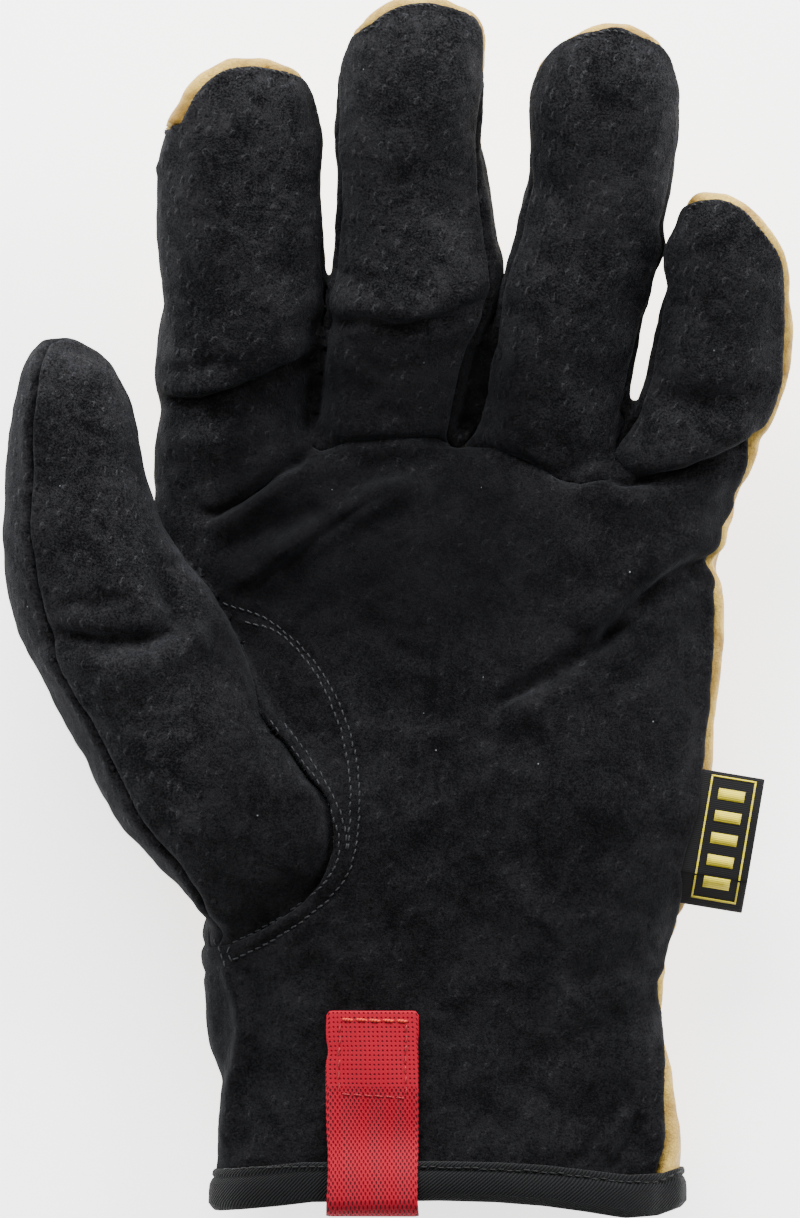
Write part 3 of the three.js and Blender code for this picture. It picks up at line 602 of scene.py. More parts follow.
def cut(shape, key, level=0.0):  # the part where a field is above the level, and the part where it is below
    values = shape["fields"][key] - level
    values = np.where(np.abs(values) < 1e-3, 1e-3, values)
    triangles = shape["triangles"]
    above = values[triangles] > 0
    count = above.sum(1)
    halves = {True: [triangles[count == 3]], False: [triangles[count == 0]]}
    cutEdges, pending = [], []
    for loneAbove, chosen in ((True, count == 1), (False, count == 2)):
        group, marks = triangles[chosen], above[chosen]
        lone = np.argmax(marks == loneAbove, axis=1)
        order = (lone[:, None] + np.arange(3)) % 3
        a, b, c = np.take_along_axis(group, order, 1).T
        cutEdges.extend([np.stack([a, b], 1), np.stack([a, c], 1)])
        pending.append((loneAbove, a, b, c))
    pairs = np.sort(np.concatenate(cutEdges), axis=1)
    unique, inverse = np.unique(pairs, axis=0, return_inverse=True)
    inverse = inverse.ravel()
    first, second = unique.T
    share = values[first] / (values[first] - values[second])

    def blend(array):
        weights = share[:, None] if array.ndim > 1 else share
        return array[first] + (array[second] - array[first]) * weights

    start, place = len(shape["points"]), 0
    for loneAbove, a, b, c in pending:
        p = start + inverse[place:place + len(a)]
        q = start + inverse[place + len(a):place + 2 * len(a)]
        place += 2 * len(a)
        halves[loneAbove].append(np.stack([a, p, q], 1))
        halves[not loneAbove].extend([np.stack([p, b, c], 1), np.stack([p, c, q], 1)])
    joined = {
        "points": np.concatenate([shape["points"], blend(shape["points"])]),
        "fields": {name: np.concatenate([field, blend(field)]) for name, field in shape["fields"].items()},
    }
    return tuple(trimmed({**joined, "triangles": np.concatenate(halves[side])}) for side in (True, False))


def joinedShapes(*shapes):
    start, pieces = 0, []
    for shape in shapes:
        pieces.append(shape["triangles"] + start)
        start += len(shape["points"])
    names = shapes[0]["fields"]
    return {
        "points": np.concatenate([shape["points"] for shape in shapes]),
        "triangles": np.concatenate(pieces),
        "fields": {name: np.concatenate([shape["fields"][name] for shape in shapes]) for name in names},
    }


def withoutCrumbs(shape, least=80):  # leaves out scraps of a few triangles
    edges = edgesOf(shape["triangles"])
    label = np.arange(len(shape["points"]))
    while True:
        lower = label.copy()
        np.minimum.at(lower, edges[:, 0], label[edges[:, 1]])
        np.minimum.at(lower, edges[:, 1], label[edges[:, 0]])
        lower = lower[lower]
        if (lower == label).all():
            break
        label = lower
    marks = label[shape["triangles"][:, 0]]
    names, counts = np.unique(marks, return_counts=True)
    return trimmed({**shape, "triangles": shape["triangles"][np.isin(marks, names[counts >= least])]})


triangles = np.concatenate([faces[:, [0, 1, 2]], faces[:, [0, 2, 3]]])
whole, _ = cut({"points": points, "triangles": triangles, "fields": fields}, "hem")
thumbPart, _ = cut(whole, "thumb", -thumbHole["under"])
_, handPart = cut(whole, "thumb")
thumbFront, thumbBack = cut(thumbPart, "thumbFront")
palmPart, belowPalm = cut(handPart, "palm")
backPart, walls = cut(belowPalm, "back")
tops, palmBase = cut(palmPart, "root")
outerTops, indexTop = cut(tops, "pastIndex")
littleTop, middleTops = cut(outerTops, "pastRing")
ringTop, middleTop = cut(middleTops, "pastMiddle")
palmShape = joinedShapes(palmBase, indexTop, littleTop)
wallsBeyond, wallsIndex = cut(walls, "rightOfMiddle")
wallsLittle, wallsMiddle = cut(wallsBeyond, "rightOfRing")

# materials


def linear(hexColour):
    parts = [int(hexColour[i:i + 2], 16) / 255 for i in (1, 3, 5)]
    return (*[p / 12.92 if p <= 0.04045 else ((p + 0.055) / 1.055) ** 2.4 for p in parts], 1.0)


def newMaterial(name, settings):  # a material with the constants of its shader
    material = bpy.data.materials.new(name)
    material.use_nodes = True
    shader = material.node_tree.nodes["Principled BSDF"]
    for key, value in settings.items():
        shader.inputs[key].default_value = value
    return material, material.node_tree, shader


def addNode(tree, kind, settings=None, links=None, output=None):
    # adds a node with its settings and the links or values of its inputs, and gives back the output that it works by
    node = tree.nodes.new("ShaderNode" + kind)
    for key, value in (settings or {}).items():
        setattr(node, key, value)
    for key, value in (links or {}).items():
        if isinstance(value, bpy.types.NodeSocket):
            tree.links.new(value, node.inputs[key])
        else:
            node.inputs[key].default_value = value
    if output is not None:
        return node.outputs[output]
    return next((socket for socket in node.outputs if socket.enabled), node)


plus, minus, times = {"operation": "ADD"}, {"operation": "SUBTRACT"}, {"operation": "MULTIPLY"}
softly = {"interpolation_type": "SMOOTHSTEP"}
inColour = {"data_type": "RGBA"}
toMillimetres = (1000, 1000, 1000)
waveLength = 2 * math.pi / 20  # a wave texture of scale 1 repeats over this length


# Split cowhide brushed to a nap and embossed with pimples: nearly black, no gloss, fibres catch the light at the
# edges, and brushed patches look lighter. The pimples stand about 3.8 mm apart, with a painted highlight on their
# left sides and painted shade on their right sides, and the palm is painted darker than the fingers and the thumb,
# as painted shade.
suedeLook = {
    "dark": "#020203", "light": "#272729", "fleck": "#8c8f96", "pimplePitch": 3.8, "fleckPitch": 9.0,
    "fibre": 0.42, "tuft": 1.5, "patch": 8.0, "brush": 26.0,  # mm
    "roughness": 0.95, "specular": 0.06, "sheen": 0.055, "sheenRoughness": 0.45, "sheenTint": "#a8adb6",
}


def suedeMaterial(name, look):
    material, tree, shader = newMaterial(name, {
        "Roughness": look["roughness"], "Specular IOR Level": look["specular"],
        "Sheen Weight": look["sheen"], "Sheen Roughness": look["sheenRoughness"],
        "Sheen Tint": linear(look["sheenTint"]),
    })
    place = addNode(tree, "TexCoord", output="Object")
    inMm = addNode(tree, "Mapping", None, {"Vector": place, "Scale": toMillimetres})
    waves = {}
    for key, detail, rough, distortion in (
            ("fibre", 4.0, 0.78, 0.0), ("tuft", 3.0, 0.65, 0.5), ("patch", 3.0, 0.6, 0.8), ("brush", 1.0, 0.5, 0.0)):
        waves[key] = addNode(tree, "TexNoise", None, {
            "Vector": inMm, "Scale": 1 / look[key], "Detail": detail, "Roughness": rough,
            "Distortion": distortion}, "Fac")
    # painted light and shade: the colour is darker in the palm and lighter on the fingers and the thumb; the same mask
    # also weakens the relief in the palm, where the nap is rubbed flat
    along = addNode(tree, "SeparateXYZ", None, {0: inMm}, "Y")
    across = addNode(tree, "SeparateXYZ", None, {0: inMm}, "X")
    onFingers = addNode(tree, "MapRange", softly, {0: along, 1: 56.0, 2: 82.0, 3: 0.42, 4: 1.0})
    onThumb = addNode(tree, "MapRange", softly, {0: across, 1: -42.0, 2: -58.0, 3: 0.4, 4: 0.8})
    paintedLightAndNap = addNode(tree, "Math", {"operation": "MAXIMUM"}, {0: onFingers, 1: onThumb})
    # painted shade: below the finger roots the palm's colour is darkened, as if it lay away from the light
    aboveIt = addNode(tree, "MapRange", softly, {0: along, 1: 84.0, 2: 104.0, 3: 1.0, 4: 0.0})
    belowIt = addNode(tree, "MapRange", softly, {0: along, 1: 12.0, 2: 42.0, 3: 0.0, 4: 0.64})
    leftOfIt = addNode(tree, "MapRange", softly, {0: across, 1: 8.0, 2: 36.0, 3: 1.0, 4: 0.2})
    onIndex = addNode(tree, "MapRange", softly, {0: across, 1: -40.0, 2: -52.0, 3: 1.0, 4: 0.0})
    away = addNode(tree, "Math", times, {0: aboveIt, 1: belowIt})
    for mask in (leftOfIt, onIndex):
        away = addNode(tree, "Math", times, {0: away, 1: mask})
    lit = addNode(tree, "Math", minus, {0: 1.0, 1: away})
    # pimples on the hide laid flat, out of line by about a millimetre
    flat = addNode(tree, "TexCoord", output="UV")
    flat = addNode(tree, "Mapping", None, {"Vector": flat, "Scale": (1.0, 0.84, 1.0), "Rotation": (0, 0, 0.12)})
    wobble = addNode(tree, "TexNoise", None, {"Vector": inMm, "Scale": 0.4, "Detail": 3.0, "Roughness": 0.7}, "Color")
    flat = addNode(tree, "VectorMath", {"operation": "MULTIPLY_ADD"}, {0: wobble, 1: (3.0, 3.0, 0.0), 2: flat})
    cell = {"Vector": flat, "Scale": 1 / look["pimplePitch"], "Randomness": 0.7}
    reach = addNode(tree, "TexVoronoi", {"voronoi_dimensions": "2D"}, cell, "Distance")
    middle = addNode(tree, "TexVoronoi", {"voronoi_dimensions": "2D"}, cell, "Position")
    aside = addNode(tree, "VectorMath", minus, {0: flat, 1: middle})
    leftward = addNode(tree, "VectorMath", {"operation": "DOT_PRODUCT"}, {0: aside, 1: (-0.86, 0.5, 0.0)}, "Value")
    pimple = addNode(tree, "MapRange", softly, {0: reach, 1: 0.08, 2: 0.26, 3: 1.0, 4: 0.0})
    rising = addNode(tree, "MapRange", softly, {0: reach, 1: 0.1, 2: 0.17, 3: 0.0, 4: 1.0})
    falling = addNode(tree, "MapRange", softly, {0: reach, 1: 0.18, 2: 0.27, 3: 1.0, 4: 0.0})
    turned = addNode(tree, "MapRange", softly, {0: leftward, 1: 0.1, 2: 0.6, 3: 0.0, 4: 1.0})
    worn = addNode(tree, "MapRange", None, {0: waves["patch"], 1: 0.42, 2: 0.6, 3: 0.1, 4: 1.0})
    # a ring round each pimple, painted as a highlight on its left side and raised in the relief
    crestAndPaintedHighlight = addNode(tree, "Math", times, {0: rising, 1: falling})
    crestAndPaintedHighlight = addNode(tree, "Math", times, {0: crestAndPaintedHighlight, 1: turned})
    crestAndPaintedHighlight = addNode(tree, "Math", times, {0: crestAndPaintedHighlight, 1: worn})
    broken = addNode(tree, "MapRange", None, {0: waves["fibre"], 1: 0.42, 2: 0.56, 3: 0.15, 4: 1.0})
    crestAndPaintedHighlight = addNode(tree, "Math", times, {0: crestAndPaintedHighlight, 1: broken})
    crestAndPaintedHighlight = addNode(tree, "Math", times, {0: crestAndPaintedHighlight, 1: paintedLightAndNap})
    # painted shade on each pimple's right side
    shade = addNode(tree, "MapRange", softly, {0: leftward, 1: 0.3, 2: -0.7, 3: 0.0, 4: 1.0})
    shade = addNode(tree, "Math", times, {0: shade, 1: pimple})
    shade = addNode(tree, "Math", times, {0: shade, 1: worn})
    # colour: brushed patches, tufts and fibres, a painted highlight on the left side of each pimple and painted shade
    # on its right side
    nap = 0.0
    for source, low, high, least, most in (
            (waves["patch"], 0.3, 0.7, -0.2, 0.44), (waves["brush"], 0.3, 0.7, -0.12, 0.16),
            (waves["tuft"], 0.3, 0.7, -0.1, 0.26), (waves["fibre"], 0.3, 0.7, -0.6, 0.85),
            (crestAndPaintedHighlight, 0.0, 1.0, 0.0, 2.6), (shade, 0.0, 1.0, 0.0, -0.4)):
        term = addNode(tree, "MapRange", {"clamp": False}, {0: source, 1: low, 2: high, 3: least, 4: most})
        nap = addNode(tree, "Math", plus, {0: nap, 1: term})
    # painted light and shade: the palm darker, the fingers and the thumb lighter
    nap = addNode(tree, "Math", times, {0: nap, 1: paintedLightAndNap})
    nap = addNode(tree, "Math", plus, {0: nap, 1: 0.06})
    # painted shade below the finger roots
    nap = addNode(tree, "Math", times, {0: nap, 1: lit})
    nap = addNode(tree, "Clamp", None, {0: nap, 1: 0.0, 2: 1.6})
    colour = addNode(tree, "Mix", {**inColour, "clamp_factor": False},
                     {0: nap, 6: linear(look["dark"]), 7: linear(look["light"])})
    dust = addNode(tree, "TexVoronoi", None, {"Vector": inMm, "Scale": 1 / look["fleckPitch"]}, "Distance")
    dust = addNode(tree, "MapRange", None, {0: dust, 1: 0.012, 2: 0.024, 3: 0.5, 4: 0.0})
    colour = addNode(tree, "Mix", inColour, {0: dust, 6: colour, 7: linear(look["fleck"])})
    tree.links.new(colour, shader.inputs["Base Color"])
    # relief in millimetres: pimples, tufts and fibres
    relief = 0.0
    for source, height in ((pimple, 0.2), (crestAndPaintedHighlight, 0.22), (waves["tuft"], 0.4), (waves["fibre"], 0.4)):
        term = addNode(tree, "Math", times, {0: source, 1: height})
        relief = addNode(tree, "Math", plus, {0: relief, 1: term})
    bump = addNode(tree, "Bump", None, {"Strength": paintedLightAndNap, "Distance": 0.001, "Height": relief})
    tree.links.new(bump, shader.inputs["Normal"])
    return material


# Full-grain goatskin, drum dyed: warm tan with a soft satin gloss, fine pebbled grain, pale rubbed streaks and
# small brown specks in the pores
tanLook = {
    "light": "#bd9d49", "dark": "#866624", "crease": "#523c16", "grain": 0.9, "patch": 9.0, "speck": 1.6,
    "roughness": 0.62, "specular": 0.3, "sheen": 0.05,
}


def tanMaterial(name, look):
    material, tree, shader = newMaterial(name, {
        "Roughness": look["roughness"], "Specular IOR Level": look["specular"], "Sheen Weight": look["sheen"]})
    place = addNode(tree, "TexCoord", output="Object")
    inMm = addNode(tree, "Mapping", None, {"Vector": place, "Scale": toMillimetres})
    patches = addNode(tree, "TexNoise", None, {
        "Vector": inMm, "Scale": 1 / look["patch"], "Detail": 4.0, "Roughness": 0.6, "Distortion": 0.6}, "Fac")
    grain = addNode(tree, "TexVoronoi", {"feature": "DISTANCE_TO_EDGE"}, {
        "Vector": inMm, "Scale": 1 / look["grain"]}, "Distance")
    fine = addNode(tree, "TexNoise", None, {"Vector": inMm, "Scale": 1.6, "Detail": 3.0, "Roughness": 0.65}, "Fac")
    pores = addNode(tree, "TexNoise", None, {
        "Vector": inMm, "Scale": 1 / look["speck"], "Detail": 5.0, "Roughness": 0.8}, "Fac")
    valleys = addNode(tree, "MapRange", softly, {0: grain, 1: 0.0, 2: 0.14, 3: 1.0, 4: 0.0})
    tone = addNode(tree, "MapRange", None, {0: patches, 1: 0.36, 2: 0.62, 3: 0.0, 4: 1.0})
    colour = addNode(tree, "Mix", inColour, {0: tone, 6: linear(look["dark"]), 7: linear(look["light"])})
    for source, low, high, most in ((valleys, 0.0, 1.0, 0.22), (fine, 0.5, 0.8, 0.3), (pores, 0.56, 0.72, 0.55)):
        share = addNode(tree, "MapRange", None, {0: source, 1: low, 2: high, 3: 0.0, 4: most})
        colour = addNode(tree, "Mix", inColour, {0: share, 6: colour, 7: linear(look["crease"])})
    tree.links.new(colour, shader.inputs["Base Color"])
    rough = addNode(tree, "MapRange", None, {
        0: patches, 1: 0.3, 2: 0.7, 3: look["roughness"] - 0.06, 4: look["roughness"] + 0.1})
    tree.links.new(rough, shader.inputs["Roughness"])
    relief = addNode(tree, "Math", times, {0: valleys, 1: -0.06})
    rippled = addNode(tree, "Math", times, {0: fine, 1: 0.12})
    relief = addNode(tree, "Math", plus, {0: relief, 1: rippled})
    bump = addNode(tree, "Bump", None, {"Strength": 0.8, "Distance": 0.001, "Height": relief})
    tree.links.new(bump, shader.inputs["Normal"])
    return material


# Cotton twill tape, woven and folded over the hem: matt black with fine diagonal ribs 0.55 mm apart
twillLook = {"dark": "#010101", "light": "#18191b", "rib": 0.55, "yarn": 0.36, "roughness": 0.9, "specular": 0.12}


def twillMaterial(name, look):
    material, tree, shader = newMaterial(name, {
        "Roughness": look["roughness"], "Specular IOR Level": look["specular"], "Sheen Weight": 0.04})
    place = addNode(tree, "TexCoord", output="UV")
    tilted = addNode(tree, "Mapping", None, {"Vector": place, "Rotation": (0, 0, math.radians(-48))})
    ribs = addNode(tree, "TexWave", None, {
        "Vector": tilted, "Scale": waveLength / look["rib"], "Distortion": 0.6, "Detail": 1.0,
        "Detail Scale": 1.2}, "Fac")
    yarns = addNode(tree, "TexWave", None, {"Vector": place, "Scale": waveLength / look["yarn"],
                                            "Distortion": 1.0}, "Fac")
    fuzz = addNode(tree, "TexNoise", None, {"Vector": place, "Scale": 2.2, "Detail": 3.0}, "Fac")
    height = 0.0
    for source, share in ((ribs, 1.0), (yarns, 0.25), (fuzz, 0.6)):
        term = addNode(tree, "Math", times, {0: source, 1: share})
        height = addNode(tree, "Math", plus, {0: height, 1: term})
    tone = addNode(tree, "MapRange", None, {0: height, 1: 0.55, 2: 1.35, 3: 0.0, 4: 1.0})
    colour = addNode(tree, "Mix", inColour, {0: tone, 6: linear(look["dark"]), 7: linear(look["light"])})
    tree.links.new(colour, shader.inputs["Base Color"])
    raised = addNode(tree, "Math", times, {0: height, 1: 0.2})
    bump = addNode(tree, "Bump", None, {"Strength": 0.9, "Distance": 0.001, "Height": raised})
    tree.links.new(bump, shader.inputs["Normal"])
    return material


# Woven polyester webbing: clear red with a faint synthetic gloss, cords 0.88 mm apart with painted shade in the gaps
# between them.
# The gaps stand upright and out of step where it hangs free, and shrink to rows of round holes where it is sewn down.
webbingLook = {"dark": "#34040c", "light": "#920a20", "cord": 0.9, "loose": 0.74, "sewn": 0.98, "sewnTo": -15.8,
               "roughness": 0.7, "specular": 0.12}


def webbingMaterial(name, look):
    material, tree, shader = newMaterial(name, {
        "Roughness": look["roughness"], "Specular IOR Level": look["specular"]})
    place = addNode(tree, "TexCoord", output="UV")
    across = addNode(tree, "SeparateXYZ", None, {0: place}, "X")
    along = addNode(tree, "SeparateXYZ", None, {0: place}, "Y")
    sewnDown = addNode(tree, "Math", {"operation": "GREATER_THAN"}, {0: along, 1: look["sewnTo"]})
    pitch = addNode(tree, "MapRange", None, {0: sewnDown, 3: look["loose"], 4: look["sewn"]})
    row = addNode(tree, "Math", {"operation": "DIVIDE"}, {0: along, 1: pitch})
    step = addNode(tree, "Math", {"operation": "FLOOR"}, {0: row})
    shift = addNode(tree, "MapRange", None, {0: sewnDown, 3: 0.5, 4: 0.04})
    shift = addNode(tree, "Math", times, {0: step, 1: shift})
    column = addNode(tree, "Math", {"operation": "MULTIPLY_ADD"}, {0: across, 1: 1 / look["cord"], 2: shift})
    gap = []
    for value, loose, sewn in ((column, 0.19, 0.2), (row, 0.56, 0.2)):  # half the gap's size, as a share of the pitch
        size = addNode(tree, "MapRange", None, {0: sewnDown, 3: loose, 4: sewn})
        value = addNode(tree, "Math", {"operation": "FRACT"}, {0: value})
        value = addNode(tree, "Math", minus, {0: value, 1: 0.5})
        gap.append(addNode(tree, "Math", {"operation": "DIVIDE"}, {0: value, 1: size}))
    gap = addNode(tree, "CombineXYZ", None, {0: gap[0], 1: gap[1]})
    gap = addNode(tree, "VectorMath", {"operation": "LENGTH"}, {0: gap}, "Value")
    height = addNode(tree, "MapRange", softly, {0: gap, 1: 0.35, 2: 1.5, 3: 0.0, 4: 1.0})
    fuzz = addNode(tree, "TexNoise", None, {"Vector": place, "Scale": 2.6, "Detail": 2.0}, "Fac")
    mottled = addNode(tree, "MapRange", None, {0: fuzz, 1: 0.3, 2: 0.7, 3: -0.12, 4: 0.12})
    # painted light and shade: the colour darkens into the gaps and lightens on the cords' crowns, with random mottling
    tone = addNode(tree, "Math", plus, {0: height, 1: mottled})
    colour = addNode(tree, "Mix", inColour, {0: tone, 6: linear(look["dark"]), 7: linear(look["light"])})
    tree.links.new(colour, shader.inputs["Base Color"])
    raised = addNode(tree, "Math", times, {0: height, 1: 0.22})
    bump = addNode(tree, "Bump", None, {"Strength": 0.8, "Distance": 0.001, "Height": raised})
    tree.links.new(bump, shader.inputs["Normal"])
    return material


# Damask label of fine polyester: tight satin with rows 0.25 mm apart, drawn at 0.4 mm so that they show
labelLook = {"black": ("#020203", "#0c0c0e"), "yellow": ("#a8991a", "#dccb38"), "row": 0.4, "roughness": 0.6}


def labelMaterial(name, colours, look):
    material, tree, shader = newMaterial(name, {
        "Roughness": look["roughness"], "Specular IOR Level": 0.15, "Sheen Weight": 0.03})
    place = addNode(tree, "TexCoord", output="UV")
    rows = addNode(tree, "TexWave", {"bands_direction": "Y"}, {
        "Vector": place, "Scale": waveLength / look["row"], "Distortion": 0.8}, "Fac")
    strands = addNode(tree, "TexNoise", None, {"Vector": place, "Scale": 4.0, "Detail": 2.0}, "Fac")
    tone = addNode(tree, "Math", plus, {0: rows, 1: strands})
    share = addNode(tree, "MapRange", None, {0: tone, 1: 0.4, 2: 1.5, 3: 0.0, 4: 1.0})
    colour = addNode(tree, "Mix", inColour, {0: share, 6: linear(colours[0]), 7: linear(colours[1])})
    tree.links.new(colour, shader.inputs["Base Color"])
    raised = addNode(tree, "Math", times, {0: tone, 1: 0.04})
    bump = addNode(tree, "Bump", None, {"Strength": 0.7, "Distance": 0.001, "Height": raised})
    tree.links.new(bump, shader.inputs["Normal"])
    return material


# Bonded polyester sewing thread: two plies twisted, a little glossier than what it sews
threadLook = {"grey": ("#0b0c0e", "#212327"), "orange": ("#8e1a10", "#d23a22"), "red": ("#5a0a12", "#9a1822"),
              "black": ("#020202", "#0e0f11"), "brown": ("#2a1c10", "#4a3320"), "twist": 0.5}


def threadMaterial(name, colours, look):
    material, tree, shader = newMaterial(name, {"Roughness": 0.6, "Specular IOR Level": 0.25, "Sheen Weight": 0.05})
    place = addNode(tree, "TexCoord", output="Object")
    inMm = addNode(tree, "Mapping", None, {"Vector": place, "Scale": toMillimetres, "Rotation": (0.6, 0.3, 0.7)})
    plies = addNode(tree, "TexWave", None, {"Vector": inMm, "Scale": waveLength / look["twist"]}, "Fac")
    colour = addNode(tree, "Mix", inColour, {0: plies, 6: linear(colours[0]), 7: linear(colours[1])})
    tree.links.new(colour, shader.inputs["Base Color"])
    return material


suede = suedeMaterial("blackNapSuede", suedeLook)
tan = tanMaterial("tanFullGrainGoatskin", tanLook)
twill = twillMaterial("blackCottonTwillTape", twillLook)
webbing = webbingMaterial("redPolyesterWebbing", webbingLook)
labelCloth = labelMaterial("blackDamaskLabel", labelLook["black"], labelLook)
labelYellow = labelMaterial("yellowDamaskThreads", labelLook["yellow"], labelLook)
threads = {name: threadMaterial(name + "PolyesterThread", threadLook[name], threadLook)
           for name in ("grey", "orange", "red", "black", "brown")}
print("materials made")

# panels as objects


def addPiece(name, points, faces, material, nodes, uv=None, thickness=0.0, offset=-1.0):
    mesh = meshFrom(name, points, faces)
    for polygon in mesh.polygons:
        polygon.use_smooth = True
    if uv is not None:
        layer = mesh.uv_layers.new(name="millimetres")
        corners = np.empty(len(mesh.loops), dtype=np.int64)
        mesh.loops.foreach_get("vertex_index", corners)
        layer.data.foreach_set("uv", np.asarray(uv, dtype=float)[corners].ravel())
    mesh.materials.append(material)
    piece = bpy.data.objects.new(name, mesh)
    bpy.context.scene.collection.objects.link(piece)
    if thickness:
        thick = piece.modifiers.new("thickness", "SOLIDIFY")
        thick.thickness = thickness * mm
        thick.offset = offset
    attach(piece, "root")
    if nodes:
        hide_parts(*nodes)
    return piece


def welded(piece, distance):  # joins points that the cuts left too close together
    work = bmesh.new()
    work.from_mesh(piece.data)
    bmesh.ops.remove_doubles(work, verts=work.verts, dist=distance * mm)
    work.to_mesh(piece.data)
    work.free()


def flatMap(points):  # millimetres along the hide: across, let down over the sides, and along the hand
    names = ["hand", *fingerNames, "thumb"]
    owner = np.argmin([tubeDistance(name, points) for name in names], axis=0)
    across = points[:, 0].copy()
    for index, name in enumerate(names):
        left, right, low, high = rowAt(name, points[:, 1])
        centre, half = (left + right) / 2, np.maximum((right - left) / 2, 1)
        side = np.clip((points[:, 0] - centre) / (0.6 * half), -1, 1)
        let = across + side * 0.8 * np.maximum(high - points[:, 2], 0)
        across = np.where(owner == index, let, across)
    return np.stack([across, points[:, 1]], 1)


def finished(shape, lap=None):  # the seams rolled in, and the thumb's opening lapped over or under
    normals = np.stack([shape["fields"]["normal" + axis] for axis in "XYZ"], 1)
    normals /= np.maximum(np.linalg.norm(normals, axis=1), 1e-6)[:, None]
    shift = np.zeros(len(normals))
    for index in map(str, range(len(seamLines))):
        shift -= seamRoll["deep"] * hump(shape["fields"]["seam" + index], seamRoll["wide"]) * shape["fields"][
            "seamOn" + index]
    edge = shape["fields"]["thumb"]
    facing = smoothStep(shape["fields"]["normalZ"], 0.0, 0.4) * shape["fields"]["lapped"]
    if lap == "over":
        shift += (thumbHole["lift"] * hump(edge, thumbHole["liftWidth"]) - 0.6 * hump(edge, 0.45)) * facing
    if lap == "under":
        shift -= thumbHole["sink"] * hump(np.maximum(edge, 0), thumbHole["sinkWidth"]) * facing
        shift -= 0.8 * smoothStep(-edge, 0.0, 1.0)
    # at the thumb's root all the pieces lie flush
    fromCorner = np.hypot(shape["points"][:, 0] - cornerX, shape["points"][:, 1] - cornerY)
    shift *= 0.12 + 0.88 * smoothStep(fromCorner, 2.5, 9.0)
    return shape["points"] + normals * shift[:, None]


outerSkins = []


def panel(name, shape, material, nodes, lap=None):
    shape = withoutCrumbs(shape)
    points = finished(shape, lap)
    outerSkins.append((points, shape["triangles"]))
    piece = addPiece(name, points, shape["triangles"], material, nodes, flatMap(points), skin["leather"])
    welded(piece, 0.14)
    return piece


panel("suedePalm", palmShape, suede, ["palm_panel"], "over")
panel("suedeMiddleFinger", middleTop, suede, ["middle_finger_front"])
panel("suedeRingFinger", ringTop, suede, ["ring_finger_front"])
panel("fourchetteIndexMiddle", wallsIndex, suede, ["fourchette_index_middle"])
panel("fourchetteMiddleRing", wallsMiddle, suede, ["fourchette_middle_ring"])
panel("fourchetteRingLittle", wallsLittle, suede, ["fourchette_ring_little"])
panel("suedeThumbFront", thumbFront, suede, ["thumb_front"], "under")
panel("suedeThumbBack", thumbBack, suede, ["thumb_back"], "under")
tanBack = panel("tanBack", backPart, tan, ["back_panel"])
thinned = tanBack.modifiers.new("fewerTriangles", "DECIMATE")  # the back is the largest piece and the plainest
thinned.ratio = skin["keptOnBack"]
tanBack.modifiers.move(1, 0)  # before its thickness
backShape = withoutCrumbs(backPart)
print("panels cut")

starts = np.cumsum([0] + [len(points) for points, _ in outerSkins[:-1]])
allPoints = np.concatenate([points for points, _ in outerSkins])
allTriangles = np.concatenate([faces + start for (_, faces), start in zip(outerSkins, starts)])
skinTree = BVHTree.FromPolygons(allPoints.tolist(), allTriangles.tolist())


def onTree(tree, way=-1):  # gives the point and normal where a ray down or up meets the glove at a place
    def ground(x, y):
        hit, normal, _, _ = tree.ray_cast(Vector((x, y, -200 * way)), Vector((0, 0, way)))
        if hit is None:
            return None, None
        return np.array(hit), np.array(normal if normal.z * way < 0 else -normal)
    return ground


# binding: twill tape folded over the hem

tape = {"thick": 0.9, "outTop": -79.9, "inTop": -80.6, "low": -88.3, "around": 300, "puff": 0.5, "groove": 0.4}


def hemRing(y, angle, centre):  # where a ray in the cuff's plane leaves the skin
    ray = Vector((math.cos(angle), 0, math.sin(angle)))
    hit, _, _, _ = skinTree.ray_cast(Vector((centre[0], y, centre[1])), ray, 90)
    return None if hit is None else (hit - Vector((centre[0], y, centre[1]))).length


